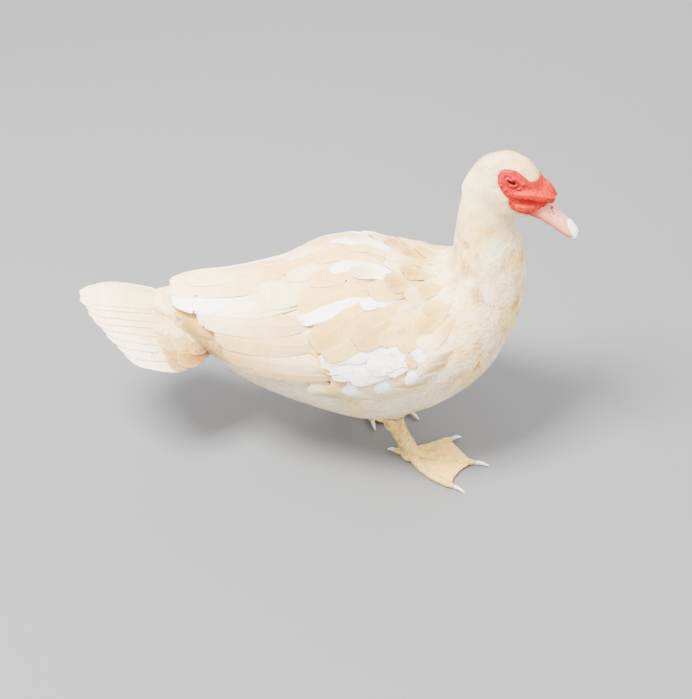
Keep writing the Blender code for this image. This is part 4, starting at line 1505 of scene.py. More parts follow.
@dataclass
class Plume:
    """A piece made of large feathers on one surface.

    Attributes:
        name: The piece's name.
        quills: Its feathers.
        hide: A smooth surface on which they are also laid.
    """

    name: str
    quills: list[Quill]
    hide: Hide | None = None

    def build(self, surface: object, skin: Skin, finish: Finish, material: bpy.types.Material) -> bpy.types.Object:
        """Build the piece.

        Args:
            surface: The surface on which its feathers lie.
            skin: The skin, for the places of the roots.
            finish: The feathers' finish.
            material: Its material.

        Returns:
            The piece.
        """
        draft = Draft(self.name)
        for quill in self.quills:
            top, under, marks = quill.grids(surface, self.hide)
            root = skin.place_of(top[0, 6][None])
            draft.add_leaves(top[None], under[None], root, marks[None])
        return draft.build(finish, material)


@dataclass
class Wing:
    """A folded wing: flight feathers, coverts and scapulars.

    Attributes:
        side: Which wing.
        flight: Root, tip, half width and marks of the flight feathers, from the lowest up.
        coverts: The same of the large coverts.
        scapulars: The same of the feathers of the shoulder and back.
        flank: The same of the side feathers that lie over the wing's lower edge.
        rump: The same of the feathers between the wing's tip and the tail.
    """

    BUFF = (0.20, 0.08, 0.52)
    WARM = (0.40, 0.02, 0.46)
    TAN = (0.68, 0.00, 0.42)
    GREY = (0.28, 0.18, 0.40)
    PALE = (0.10, 0.36, 0.66)
    WHITE = (0.0, 0.96, 0.90)

    side: Side
    flight: tuple = (
        ((0.004, 4), (-0.1060, -3), 0.0110, GREY, GREY),
        ((0.004, 14), (-0.1180, 5), 0.0150, PALE, BUFF),
        ((-0.006, 28), (-0.1260, 22), 0.0140, GREY, BUFF),
        ((-0.012, 42), (-0.1430, 37), 0.0135, GREY, PALE),
        ((-0.016, 60), (-0.1690, 56), 0.0165, PALE, WHITE),
        ((-0.014, 80), (-0.1730, 76), 0.0150, BUFF, PALE),
        ((-0.012, 98), (-0.1560, 92), 0.0140, BUFF, PALE),
    )
    coverts: tuple = (
        ((0.034, 22), (-0.022, 15), 0.0110, WHITE, (0.0, 0.9, 0.8)),
        ((0.046, 16), (-0.012, 7), 0.0110, WHITE, WHITE),
        ((0.056, 16), (0.006, 5), 0.0110, WHITE, WHITE),
        ((0.038, 26), (-0.010, 19), 0.0100, WHITE, (0.06, 0.66, 0.70)),
        ((0.052, 30), (0.002, 21), 0.0120, WHITE, WHITE),
        ((0.070, 30), (0.024, 13), 0.0110, WHITE, WHITE),
        ((0.080, 30), (0.040, 14), 0.0110, WHITE, WHITE),
        ((0.080, 40), (0.046, 24), 0.0110, WHITE, WHITE),
        ((0.100, 38), (0.066, 24), 0.0105, WHITE, WHITE),
        ((0.092, 31), (0.060, 20), 0.0085, (0.1, 0.6, 0.7), (0.34, 0.08, 0.52)),
        ((0.034, 58), (-0.042, 43), 0.0110, WHITE, WHITE),
        ((0.050, 44), (-0.020, 20), 0.0140, BUFF, BUFF),
        ((0.044, 60), (-0.030, 26), 0.0165, BUFF, WARM),
        ((0.086, 50), (0.032, 33), 0.0120, PALE, BUFF),
        ((0.078, 62), (0.009, 29), 0.0170, BUFF, WARM),
        ((0.098, 54), (0.050, 31), 0.0140, BUFF, BUFF),
        ((0.094, 66), (0.050, 40), 0.0140, PALE, BUFF),
        ((0.108, 52), (0.074, 29), 0.0120, BUFF, PALE),
        ((0.106, 62), (0.070, 42), 0.0110, BUFF, WARM),
    )
    scapulars: tuple = (
        ((0.022, 96), (-0.104, 94), 0.0150, BUFF, PALE),
        ((0.026, 64), (-0.096, 70), 0.0165, BUFF, PALE),
        ((0.034, 74), (-0.078, 62), 0.0180, BUFF, PALE),
        ((0.040, 94), (-0.074, 90), 0.0150, BUFF, BUFF),
        ((0.042, 78), (-0.056, 80), 0.0150, BUFF, PALE),
        ((0.052, 66), (-0.044, 53), 0.0160, BUFF, BUFF),
        ((0.054, 76), (-0.034, 70), 0.0145, BUFF, BUFF),
        ((0.056, 90), (-0.030, 88), 0.0140, BUFF, BUFF),
        ((0.050, 80), (-0.014, 75), 0.0085, PALE, (0.02, 0.75, 0.8)),
        ((0.052, 95), (0.004, 93), 0.0075, PALE, BUFF),
        ((0.058, 60), (0.016, 51), 0.0070, WHITE, WHITE),
        ((0.060, 78), (0.006, 72), 0.0105, WHITE, (0.30, 0.30, 0.55)),
        ((0.070, 68), (0.024, 60), 0.0120, BUFF, BUFF),
        ((0.082, 76), (0.040, 68), 0.0120, BUFF, TAN),
        ((0.080, 94), (0.040, 92), 0.0120, BUFF, PALE),
        ((0.092, 84), (0.056, 79), 0.0110, BUFF, TAN),
        ((0.092, 68), (0.060, 60), 0.0110, PALE, BUFF),
        ((0.100, 74), (0.072, 67), 0.0100, BUFF, WARM),
        ((0.102, 62), (0.080, 52), 0.0100, BUFF, WARM),
    )
    flank: tuple = (
        ((0.010, -22), (-0.034, -9), 0.0120, GREY, PALE),
        ((0.030, -20), (-0.014, -4), 0.0125, PALE, BUFF),
        ((0.046, -20), (0.002, -1), 0.0135, PALE, WHITE),
        ((0.062, -16), (0.016, 2), 0.0135, PALE, PALE),
        ((0.076, -10), (0.032, 4), 0.0135, PALE, WHITE),
        ((0.088, -4), (0.046, 9), 0.0130, BUFF, PALE),
        ((0.098, 4), (0.060, 11), 0.0120, PALE, WHITE),
        ((0.106, 14), (0.070, 17), 0.0115, BUFF, PALE),
        ((0.112, 24), (0.078, 24), 0.0110, PALE, PALE),
    )

    rump: tuple = (
        ((-0.132, 82), (-0.172, 86), 0.0130, PALE, BUFF),
        ((-0.131, 52), (-0.170, 57), 0.0130, PALE, BUFF),
        ((-0.130, 24), (-0.167, 30), 0.0125, BUFF, WARM),
        ((-0.124, -4), (-0.160, 4), 0.0120, WARM, TAN),
        ((-0.104, 68), (-0.147, 74), 0.0130, PALE, BUFF),
        ((-0.104, 38), (-0.145, 43), 0.0130, BUFF, PALE),
        ((-0.100, 12), (-0.139, 18), 0.0125, BUFF, WARM),
        ((-0.092, -14), (-0.128, -6), 0.0120, PALE, WARM),
    )

    def rows(self, name: str, table: tuple, first_seed: int, heights: tuple, tilt: float,
             hide: Hide | None, laid_from: float = 28.0) -> Plume:
        """Lay out feathers from a table, each over the one before it.

        Args:
            name: The first part of the piece's name.
            table: Root, tip, half width and marks of each feather.
            first_seed: The seed of the first feather.
            heights: Height of the root and the tip, and the step from one feather to the next.
            tilt: How much the lower edges stand out.
            hide: The surface on which they are laid, which flight feathers don't need.
            laid_from: The angle from which they are laid on it.

        Returns:
            The piece, ready to be built.
        """
        root_height, tip_height, rise = heights
        quills = []
        long = hide is None
        for k, (root, tip, half, start, end) in enumerate(table):
            bend = ((root[0] + tip[0]) / 2, (root[1] + tip[1]) / 2 + (1.0 if long else 1.5))
            quills.append(Quill(
                path=(root, bend, tip), half=half, base=root_height + rise * k, top=tip_height + rise * k,
                tilt=tilt, marks=start, tip_marks=end, seed=first_seed + k, splits=3 if long else 2,
                taper=0.80 if long else 0.48, blunt=2.0 if long else 2.1, stations=40 if long else 28,
                laid_from=laid_from,
            ))
        return Plume(f"{name}_{self.side.name.lower()}", quills, hide)

    def build(self, skin: Skin, finish: Finish, material: bpy.types.Material) -> None:
        """Build the wing's pieces.

        Args:
            skin: The skin.
            finish: The large feathers' finish.
            material: Its material.
        """
        surface = Envelope(self.side)
        lower = -0.0006 if self.side is Side.LEFT else 0.0
        flight = self.rows("flight", self.flight, 40, (-0.0055, 0.0005, 0.00035), 0.0009, None)
        made = flight.build(surface, skin, finish, material)
        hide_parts(f"wing_{self.side.name.lower()}")
        for name, table, seed, heights, hide, laid_from in (
            ("coverts", self.coverts, 70, (-0.0026, 0.0003, 0.00012), skin.coat, 28.0),
            ("scapulars", self.scapulars, 110, (-0.0034 + lower, 0.0010 + lower, 0.00010), skin.coat, 28.0),
            ("flank_plumes", self.flank, 150, (-0.0048, 0.0072, 0.00005), skin.under, -200.0),
            ("rump_plumes", self.rump, 170, (-0.0020, 0.0014, 0.00012), skin.under, -200.0),
        ):
            plume = self.rows(name, table, seed, heights, 0.0003, hide, laid_from)
            plume.build(surface, skin, finish, material)


@dataclass
class Tail:
    """The fanned tail with its coverts.

    Attributes:
        feathers: How many tail feathers there are.
        half: A tail feather's half width.
        rows: Start, end, spread and half width of each row of coverts.
    """

    feathers: int = 18
    half: float = 0.0108
    rows: tuple = ((0.02, 0.50, 0.98, 0.0125), (-0.10, 0.36, 0.94, 0.0140), (-0.22, 0.20, 0.80, 0.0140))

    def build(self, skin: Skin, finish: Finish, material: bpy.types.Material) -> None:
        """Build the tail's pieces.

        Args:
            skin: The skin.
            finish: The large feathers' finish.
            material: Its material.
        """
        seeded = np.random.default_rng(5)
        quills = []
        order = sorted(range(self.feathers), key=lambda k: -abs(2 * k / (self.feathers - 1) - 1))
        for level, k in enumerate(order):
            across = 2 * k / (self.feathers - 1) - 1
            tan = 0.20 + 0.05 * seeded.normal()
            white = 0.12 + 0.30 * eased((abs(across) - 0.4) / 0.6)
            end = 1.0 - 0.03 * seeded.random()
            sway = seeded.normal(0, 1.6, 2)
            quills.append(Quill(
                path=((-0.10, 100 * across), (0.5 * end, 100 * across + sway[0]), (end, 100 * across + sway[1])),
                half=self.half, base=-0.0030 + 0.00020 * level, top=-0.0012 + 0.00012 * level,
                tilt=0.0011 * math.copysign(1, across), marks=(tan, white, 0.52),
                tip_marks=(tan * 0.6, white + 0.35, 0.64), seed=200 + k, splits=4, stations=40,
                taper=0.84, blunt=1.8,
            ))
        tail = Plume("tail_feathers", quills).build(Fan(), skin, finish, material)
        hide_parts("tail")
        quills = []
        for row, (start, end, spread, half) in enumerate(self.rows):
            count = 9 + row % 2
            for k in sorted(range(count), key=lambda k: -abs(2 * k / (count - 1) - 1)):
                across = (2 * k / (count - 1) - 1) * spread
                edge = eased((abs(across) - 0.55) / 0.3)
                quills.append(Quill(
                    path=((start, 100 * across), ((start + end) / 2, 99 * across), (end, 97 * across)),
                    half=half, base=-0.0010 + 0.0006 * row, top=0.0004 + 0.0007 * row,
                    tilt=0.0005 * math.copysign(1, across), marks=(0.20 + 0.75 * edge, 0.2 * (1 - edge), 0.46),
                    tip_marks=(0.14 + 0.62 * edge, 0.30 * (1 - edge), 0.52), seed=240 + 20 * row + k,
                ))
        Plume("tail_coverts", quills).build(Fan(), skin, finish, material)


@dataclass
class Bare:
    """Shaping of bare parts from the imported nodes: face, bill and legs."""

    @staticmethod
    def finish_piece(made: bpy.types.Object, finish: Finish, marks: np.ndarray, *nodes: str) -> bpy.types.Object:
        """Store marks, dress the piece and let it stand for its nodes."""
        store_marks(made.data, marks)
        made.data.shade_smooth()
        made.data.materials.clear()
        made.data.materials.append(finish.make())
        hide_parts(*nodes)
        return settle(made)


@dataclass
class Face(Bare):
    """The bare face with its folds, warts and lids.

    Attributes:
        voxel: The size of its faces.
        finish: Its finish.
        upper: Middle line of the upper fold in the head's frame.
        lower: Middle line of the lower fold.
        slit: Half length and half height of the opening between the lids.
    """

    voxel: float = 0.00055
    finish: FleshFinish = FleshFinish(
        "bare_face", "face", roughness=0.55, bump=0.5, bump_depth=0.0004, ground=(0.36, 0.003, 0.004),
        cloud=(0.44, 0.008, 0.006), first=(0.52, 0.020, 0.003), second=(0.15, 0.002, 0.003),
        cloud_scale=260.0, pit_scale=1500.0, flesh=0.12, coat=0.0, gloss=0.2,
    )
    upper: tuple = ((0.0283, 0.0038), (0.0455, 0.0055), (0.0560, 0.0020), (0.0640, -0.0040))
    lower: tuple = ((0.0275, -0.0085), (0.0356, -0.0110), (0.0440, -0.0118), (0.0511, -0.0100))
    slit: tuple = (0.0041, 0.0019)

    @staticmethod
    def from_line(flat: np.ndarray, line: Sequence[tuple[float, float]]) -> np.ndarray:
        """Measure how far points lie from a line of points."""
        spots = np.array(line)
        nearest = np.full(len(flat), 1.0)
        for one, two in zip(spots, spots[1:]):
            way = two - one
            share = np.clip(((flat - one) @ way) / (way @ way), 0, 1)
            nearest = np.minimum(nearest, np.linalg.norm(flat - one - share[:, None] * way, axis=1))
        return nearest

    def build(self) -> bpy.types.Object:
        """Build the face.

        Returns:
            The piece.
        """
        made = fused("bare_face", [node_copy("face", 0.0005)], self.voxel, 6)
        points, normals = mesh_arrays(made.data)
        points = points - normals * 0.0002
        head = to_head(points)
        flat = head[:, [0, 2]]
        upper, lower = self.from_line(flat, self.upper), self.from_line(flat, self.lower)
        fold = np.exp(-(np.minimum(upper, lower) / 0.0040) ** 2)
        front = eased((head[:, 0] - 0.044) / 0.012)
        fine, coarse = SoftNoise(0.0013, 31, 24).at(points), SoftNoise(0.0034, 32, 24).at(points)
        warts = np.clip(fine, -0.4, 2) * 0.00005 + np.clip(coarse, -1, 2) * 0.00008
        slope = math.radians(27.0)
        aside, up = flat[:, 0] - EYE_SPOT[0], flat[:, 1] - EYE_SPOT[2]
        along = aside * math.cos(slope) - up * math.sin(slope)
        across = aside * math.sin(slope) + up * math.cos(slope)
        around = np.hypot(along / self.slit[0], across / self.slit[1])
        side_on = eased((np.abs(head[:, 1]) - 0.008) / 0.003)
        hole = eased((1.0 - around) / 0.22) * side_on
        lid = np.exp(-((around - 1.28) / 0.22) ** 2) * side_on
        groove = np.exp(-((around - 1.85) / 0.20) ** 2) * side_on
        outer = np.exp(-((around - 2.35) / 0.25) ** 2) * side_on
        move = warts * (0.5 + 0.7 * fold + 0.5 * front) * (1 - lid) - 0.0030 * hole
        move = move + 0.00070 * lid - 0.00022 * groove + 0.00030 * outer
        write_points(made.data, points + normals * move[:, None])
        # Painted shade: the dark second colour fills the low spots between the warts, the groove round the eye and the
        # gap between the folds.
        crease = np.clip(-coarse - 0.4, 0, 1) * 0.45 + 0.7 * groove
        between = np.exp(-((upper - lower) / 0.0012) ** 2) * eased((0.0075 - lower) / 0.002)
        crease = np.clip(crease + 0.6 * between, 0, 1)
        light = 0.5 + 0.12 * fine + 0.4 * lid + 0.12 * outer
        marks = np.stack([np.clip(0.9 * fold + 0.4 * front, 0, 1) * (1 - crease), crease, light], -1)
        return self.finish_piece(made, self.finish, marks, "face")


@dataclass
class Bill(Bare):
    """The bill: upper half, lower half and nail."""

    finish: FleshFinish = FleshFinish(
        "bill_skin", "bill", roughness=0.38, bump=0.25, bump_depth=0.0002, ground=(0.72, 0.22, 0.15),
        cloud=(0.80, 0.36, 0.22), first=(0.56, 0.02, 0.025), second=(0.03, 0.015, 0.012),
        cloud_scale=130.0, pit_scale=900.0, flesh=0.25, coat=0.2,
    )
    nail: FleshFinish = FleshFinish(
        "bill_horn", "nail", roughness=0.32, bump=0.15, bump_depth=0.0002, ground=(0.96, 0.93, 0.88),
        cloud=(0.98, 0.95, 0.91), first=(0.80, 0.62, 0.52), second=(0.5, 0.35, 0.3),
        cloud_scale=120.0, pit_scale=900.0, flesh=0.3, coat=0.3,
    )
    nail_share: float = 1.22
    # Dark specks by the nostril: place in the head's frame from the side, and radius
    specks: tuple = (
        (0.0628, -0.0144, 0.0015), (0.0612, -0.0180, 0.0006), (0.0636, -0.0172, 0.0006), (0.0650, -0.0190, 0.0007),
        (0.0664, -0.0168, 0.0005), (0.0690, -0.0215, 0.0004), (0.0645, -0.0150, 0.0005),
    )

    def build(self) -> None:
        """Build the bill's three pieces."""
        for node, finish, voxel in (
            ("bill_upper", self.finish, 0.0005), ("bill_lower", self.finish, 0.0005), ("bill_nail", self.nail, 0.0004),
        ):
            made = fused(node + "_skin", [node_copy(node, 0.0001)], voxel, 6)
            points, _ = mesh_arrays(made.data)
            if finish is self.nail:
                middle = (points.min(0) + points.max(0)) / 2
                points = middle + (points - middle) * self.nail_share
                write_points(made.data, points)
            head = to_head(points)
            dark = np.zeros(len(points))
            for place, height, radius in self.specks:
                gap = np.hypot(head[:, 0] - place, head[:, 2] - height)
                dark = np.maximum(dark, eased((radius - gap) / (radius * 0.6) + 0.5))
            high = head[:, 2] + 0.62 * head[:, 0]
            high = (high - high.min()) / np.ptp(high)
            flush = np.maximum(eased((0.058 - head[:, 0]) / 0.014), 0.75 * eased((0.50 - high) / 0.35))
            if finish is self.nail:
                flush = eased((0.079 - head[:, 0]) / 0.003)
            marks = np.stack([flush, dark * (head[:, 1] < 0), np.full(len(points), 0.5)], -1)
            self.finish_piece(made, finish, marks, node)


@dataclass
class Eyes:
    """The two eyeballs."""

    finish: EyeFinish = EyeFinish("wet_eye", "eye", roughness=0.08)
    radius: float = 0.0050
    pupil: float = 0.0021
    iris: float = 0.0040

    def build(self) -> None:
        """Build both eyes."""
        material = self.finish.make()
        for side in Side:
            centre = from_head([(EYE_SPOT[0], side.value * EYE_SPOT[1], EYE_SPOT[2])])[0]
            shape = bmesh.new()
            bmesh.ops.create_icosphere(shape, subdivisions=4, radius=self.radius)
            mesh = bpy.data.meshes.new(f"eyeball_{side.name.lower()}")
            shape.to_mesh(mesh)
            shape.free()
            points, _ = mesh_arrays(mesh)
            out = turned(np.array([0.12, side.value * 1.0, 0.05]), HEAD_TURN)
            off = np.linalg.norm(np.cross(points, unit(out)), axis=1)
            facing = (points @ out) > 0
            ring = eased((off - self.pupil) / 0.0003) * eased((self.iris - off) / 0.0004) * facing
            points = points * (1 + 0.05 * eased((0.0038 - off) / 0.0038) * facing)[:, None]
            write_points(mesh, points + centre)
            made = bpy.data.objects.new(mesh.name, mesh)
            bpy.context.scene.collection.objects.link(made)
            store_marks(mesh, np.stack([ring, 0 * ring, 0 * ring + 0.5], -1))
            mesh.shade_smooth()
            mesh.materials.append(material)
            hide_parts(f"eye_{side.name.lower()}")
            settle(made)


@dataclass
class Leg(Bare):
    """A scaly shank with its webbed foot and claws.

    Attributes:
        side: Which leg.
        hock: The hock's place in the drawing.
        root: Where the toes meet.
        heading: The way that the middle toe points, in degrees.
        hind: The way that the hind toe points.
        spread: How far the toes are spread.
    """

    side: Side
    hock: tuple
    root: tuple
    heading: float
    hind: float
    spread: float
    finish: FleshFinish = FleshFinish(
        "leg_scales", "leg", roughness=0.55, bump=0.5, bump_depth=0.0003, ground=(0.84, 0.57, 0.12),
        cloud=(0.50, 0.33, 0.11), first=(0.84, 0.50, 0.14), second=(0.20, 0.12, 0.05),
        cloud_scale=150.0, pit_scale=950.0, pit_depth=0.9, flesh=0.1,
    )
    claw_finish: FleshFinish = FleshFinish(
        "claw_horn", "claw", roughness=0.35, bump=0.1, bump_depth=0.0002, ground=(0.72, 0.66, 0.48),
        cloud=(0.62, 0.55, 0.38), first=(0.85, 0.82, 0.70), second=(0.3, 0.25, 0.18),
        cloud_scale=200.0, pit_scale=900.0, flesh=0.2, coat=0.2,
    )
    toes: tuple = (
        ("inner", 39.0, 0.0500, 0.0), ("middle", 0.0, 0.0665, 0.0), ("outer", -38.0, 0.0620, 0.0060),
    )

    def toe_lines(self) -> list[np.ndarray]:
        """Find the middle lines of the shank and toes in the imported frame."""
        inward = -self.side.value
        lines = [np.array([self.hock, self.root])]
        for _, turn, length, bow in self.toes:
            way = math.radians(self.heading + turn * self.spread * inward)
            ahead = np.array([math.cos(way), math.sin(way), 0.0])
            aside = np.array([-ahead[1], ahead[0], 0.0]) * math.copysign(bow, turn * inward)
            start = np.array([self.root[0], self.root[1], 0.006])
            steps = np.linspace(0, 1, 9)[:, None]
            line = start + ahead * length * steps + aside * np.sin(math.pi * steps)
            line[:, 2] = np.interp(steps[:, 0], (0, 0.3, 1), (0.0075, 0.0052, 0.0034))
            lines.append(line)
        way = math.radians(self.hind)
        ahead = np.array([math.cos(way), math.sin(way), 0.0])
        lines.append(np.array([self.root, np.array(self.root) + ahead * 0.017 - np.array([0, 0, 0.007])]))
        return [line + SHIFT for line in lines]

    def build(self) -> None:
        """Build the leg and its claws."""
        name = self.side.name.lower()
        nodes = (f"shank_{name}", f"foot_{name}")
        made = fused(f"leg_{name}", [node_copy(node, 0.0002) for node in nodes], 0.0007, 3)
        points, normals = mesh_arrays(made.data)
        best = np.full(len(points), 1.0)
        along = np.zeros(len(points))
        run = 0.0
        for line in self.toe_lines():
            for one, two in zip(line, line[1:]):
                way = two - one
                share = np.clip(((points - one) @ way) / (way @ way), 0, 1)
                gap = np.linalg.norm(points - one - share[:, None] * way, axis=1)
                closer = gap < best
                along = np.where(closer, run + share * np.linalg.norm(way), along)
                best = np.where(closer, gap, best)
                run += np.linalg.norm(way)
            run += 0.0013
        shank = points[:, 2] > 0.016
        top = np.where(shank, eased(normals[:, 0] * 1.5 + 0.4), eased(normals[:, 2] * 1.6))
        scute = np.abs(((along / np.where(shank, 0.0030, 0.0023)) % 1.0) - 0.5) * 2
        ridge = (1 - scute ** 6) * top
        web = eased((best - 0.0052) / 0.0015) * (points[:, 2] < 0.010) * eased(normals[:, 2] * 2.0)
        soft = SoftNoise(0.0022, 51, 20).at(points)
        wrinkle = SoftNoise(0.0045, 52, 20).at(points)
        move = 0.00028 * ridge * (1 - web) + 0.00006 * soft + 0.00010 * wrinkle * web
        lifted = points + normals * move[:, None]
        lifted[:, 2] = np.maximum(lifted[:, 2], 0.0)
        write_points(made.data, lifted)
        gaps = (scute > 0.90) * top * (1 - web)
        stain = SoftNoise(0.0075, 53, 20).at(points)
        stain = eased((stain + 0.2) / 1.2) * np.where(shank, 0.45 + 0.30 * eased(-normals[:, 0]), 0.10)
        marks = np.stack([web * 0.9, 0.50 * gaps + stain * (1 - web), 0.5 + 0.15 * soft], -1)
        self.finish_piece(made, self.finish, marks, *nodes)
        for toe in ("inner", "middle", "outer", "hind"):
            self.claw(toe)

    def claw(self, toe: str) -> None:
        """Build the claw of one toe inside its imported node's box."""
        node = f"claw_{self.side.name.lower()}_{toe}"
        made = fused(node + "_horn", [node_copy(node, 0.0001)], 0.00035, 6)
        points, _ = mesh_arrays(made.data)
        root = np.array([self.root[0], self.root[1], 0.0]) + SHIFT
        reach = np.linalg.norm((points - root)[:, :2], axis=1)
        share = (reach - reach.min()) / max(np.ptp(reach), 1e-6)
        marks = np.stack([share, 0.4 * (1 - share) ** 3, 0 * share + 0.5], -1)
        self.finish_piece(made, self.claw_finish, marks, node)


@dataclass
class Studio:
    """The floor, the lights and the camera.

    Attributes:
        camera_spot: The camera's place in the drawing.
        pitch: How far it looks down, in degrees.
        yaw: How far it looks to the left.
        focal: Its focal length in the picture's own pixels.
        long_side: The picture's long side in pixels.
    """

    camera_spot: tuple = (0.02, -1.261, 1.12)
    pitch: float = 38.88
    yaw: float = 0.86
    focal: float = 1600.0
    long_side: float = 699.0

    def build(self) -> None:
        """Build the studio."""
        self.floor()
        self.lights()
        self.camera()

    def floor(self) -> None:
        """Build a plain pale floor."""
        shape = bmesh.new()
        bmesh.ops.create_grid(shape, x_segments=1, y_segments=1, size=4.0)
        mesh = bpy.data.meshes.new("floor")
        shape.to_mesh(mesh)
        shape.free()
        floor = bpy.data.objects.new("floor", mesh)
        bpy.context.scene.collection.objects.link(floor)
        material = bpy.data.materials.new("floor_paper")
        material.use_nodes = True
        shader = material.node_tree.nodes["Principled BSDF"]
        shader.inputs["Base Color"].default_value = (0.15, 0.15, 0.154, 1.0)
        shader.inputs["Roughness"].default_value = 0.9
        mesh.materials.append(material)

    def lights(self) -> None:
        """Set a large soft light over the bird, a fill and a pale world."""
        for name, spot, size, power, tint in (
            ("key", (-0.7, -0.5, 2.0), 0.7, 240.0, (1.0, 0.98, 0.94)),
            ("fill", (1.6, -1.2, 0.9), 1.8, 24.0, (0.94, 0.97, 1.0)),
            ("rim", (0.6, 1.5, 1.3), 1.0, 32.0, (1.0, 0.98, 0.95)),
        ):
            lamp = bpy.data.lights.new(name, "AREA")
            lamp.size = size
            lamp.energy = power
            lamp.color = tint
            made = bpy.data.objects.new(name, lamp)
            made.location = spot
            made.rotation_euler = (Vector((0.0, 0.0, 0.12)) - Vector(spot)).to_track_quat("-Z", "Y").to_euler()
            bpy.context.scene.collection.objects.link(made)
        world = bpy.data.worlds.new("studio")
        world.use_nodes = True
        sky = world.node_tree.nodes["Background"]
        sky.inputs["Color"].default_value = (1.0, 1.0, 1.0, 1.0)
        sky.inputs["Strength"].default_value = 2.3
        bpy.context.scene.world = world

    def camera(self) -> None:
        """Set the camera where the photograph was taken from."""
        lens = bpy.data.cameras.new("camera")
        lens.sensor_width = 36.0
        lens.lens = lens.sensor_width * self.focal / self.long_side
        lens.clip_start, lens.clip_end = 0.05, 20.0
        camera = bpy.data.objects.new("camera", lens)
        pitch, yaw = math.radians(self.pitch), math.radians(self.yaw)
        ahead = Vector((-math.sin(yaw) * math.cos(pitch), math.cos(yaw) * math.cos(pitch), -math.sin(pitch)))
        camera.location = Vector(self.camera_spot) + Vector(SHIFT)
        camera.rotation_euler = ahead.to_track_quat("-Z", "Y").to_euler()
        bpy.context.scene.collection.objects.link(camera)
        bpy.context.scene.camera = camera


def wing_angle(points: np.ndarray) -> np.ndarray:
    """Find the angle of points of the drawing round the folded wings, in degrees."""
    row = through(Envelope(Side.LEFT).rows, points[:, 0])
    return np.degrees(np.arctan2((points[:, 2] - row[:, 0]) / row[:, 1], np.abs(points[:, 1]) / row[:, 2]))


def on_wing(points: np.ndarray) -> np.ndarray:
    """Say which points of the drawing lie under the large wing feathers."""
    angle = wing_angle(points)
    low = np.interp(points[:, 0], (-0.11, -0.02, 0.0, 0.03, 0.06, 0.085, 0.10), (-8, -8, 1, 8, 16, 26, 50))
    back = np.interp(angle, (0, 22, 37, 56, 76, 92), (-0.098, -0.106, -0.120, -0.140, -0.145, -0.130))
    return (angle > low) & (points[:, 0] < 0.088) & (points[:, 0] > back)


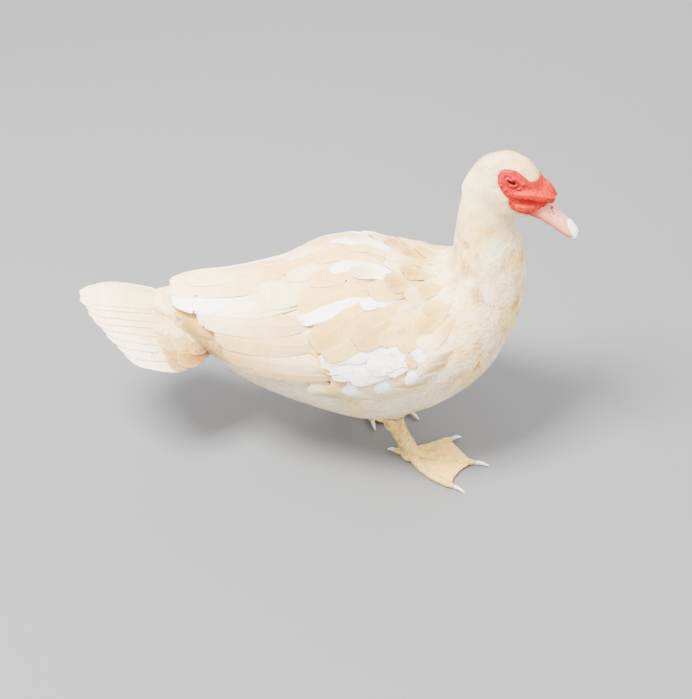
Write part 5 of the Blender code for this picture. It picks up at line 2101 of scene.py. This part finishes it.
def tracts() -> list[Tract]:
    """List the regions of small feathers.

    Returns:
        The regions, from the head to the tail.
    """
    def crown(points: np.ndarray) -> np.ndarray:
        """Say which points are on the upper part of the head."""
        return points[:, 2] > 0.305

    def cheek(points: np.ndarray) -> np.ndarray:
        """Say which points are on the lower part of the head."""
        return (points[:, 2] <= 0.307) & (points[:, 2] > 0.268)

    def neck(points: np.ndarray) -> np.ndarray:
        """Say which points are on the neck."""
        return (points[:, 2] <= 0.272) & (points[:, 2] > 0.214) & (points[:, 0] > 0.085)

    def breast(points: np.ndarray) -> np.ndarray:
        """Say which points are on the front of the breast."""
        return (points[:, 2] <= 0.218) & (points[:, 0] > 0.112)

    def shoulder(points: np.ndarray) -> np.ndarray:
        """Say which points are on the mantle and the sides of the breast."""
        front = (points[:, 0] > 0.055) & (points[:, 0] <= 0.115)
        return (points[:, 2] <= 0.222) & front & ~on_wing(points)

    def flank(points: np.ndarray) -> np.ndarray:
        """Say which points are on the belly and the flanks."""
        return (points[:, 0] <= 0.058) & (points[:, 0] > -0.070) & ~on_wing(points)

    def vent(points: np.ndarray) -> np.ndarray:
        """Say which points are behind the legs and under the tail."""
        low = points[:, 2] < np.interp(points[:, 0], (-0.20, -0.12), (0.156, 0.132))
        return (points[:, 0] <= -0.066) & (points[:, 0] > -0.160) & (wing_angle(points) < 0) & low

    def rump(points: np.ndarray) -> np.ndarray:
        """Say which points are on the rump over the tail's root."""
        high = points[:, 2] > np.interp(points[:, 0], (-0.20, -0.12), (0.150, 0.120))
        return (points[:, 0] <= -0.075) & (points[:, 0] > -0.136) & high

    return [
        Tract("coat_crown", 0.0080, 0.00080, 0.00090, 0.0001, 4, 3, 0.12, crown, 11, 0.04, 0.14, 0.16, 0.2),
        Tract("coat_cheek", 0.0080, 0.00085, 0.00095, 0.0001, 4, 3, 0.12, cheek, 16, 0.04, 0.12, 0.10, 0.2),
        Tract("coat_neck", 0.0125, 0.0017, 0.00150, 0.0001, 5, 3, 0.13, neck, 12, 0.03, 0.14, 0.12, 0.25),
        Tract("coat_breast", 0.0165, 0.0025, 0.00200, 0.0001, 5, 3, 0.13, breast, 13, 0.02, 0.16, 0.12, 0.3, True),
        Tract("coat_shoulder", 0.0180, 0.0027, 0.00210, 0.0001, 5, 3, 0.13, shoulder, 18, 0.02, 0.16, 0.12, 0.3, True),
        Tract("coat_flank", 0.0220, 0.0028, 0.00220, 0.0001, 5, 3, 0.13, flank, 14, 0.02, 0.16, 0.12, 0.3, True),
        Tract("coat_vent", 0.0230, 0.0028, 0.00220, 0.0001, 5, 3, 0.13, vent, 15, 0.02, 0.16, 0.12, 0.3, True),
        Tract("coat_rump", 0.0280, 0.0034, 0.00260, 0.0001, 6, 3, 0.10, rump, 17, 0.02, 0.16, 0.12, 0.3, True),
    ]


def main() -> None:
    """Build the bird and its studio."""
    logging.basicConfig(level=logging.INFO, format="%(message)s")
    markings = Markings()
    skin = Skin()
    skin.build(markings)
    small = PlumageFinish(
        "small_feathers", "plumage", barbs=10.0, slant=3.0, streak=0.30, shaft=0.15, roughness=0.8,
        cream=(0.98, 0.69, 0.20), white=(0.98, 0.90, 0.70), bump=0.15,
    )
    small_material = small.make()
    for tract in tracts():
        tract.build(skin, markings, small, small_material)
    large = PlumageFinish(
        "large_feathers", "flight", barbs=48.0, slant=2.0, streak=0.60, shaft=0.40, edge=0.45, roughness=0.7,
    )
    large_material = large.make()
    for side in Side:
        Wing(side).build(skin, large, large_material)
    Tail().build(skin, large, large_material)
    Face().build()
    Bill().build()
    Eyes().build()
    Leg(Side.RIGHT, (0.049, -0.0487, 0.052), (0.0676, -0.0487, 0.010), -8.5, 152.0, 1.0).build()
    Leg(Side.LEFT, (0.0075, 0.058, 0.052), (0.0163, 0.0532, 0.010), -54.0, 176.0, 0.56).build()
    Studio().build()


if __name__ == "__main__":
    main()
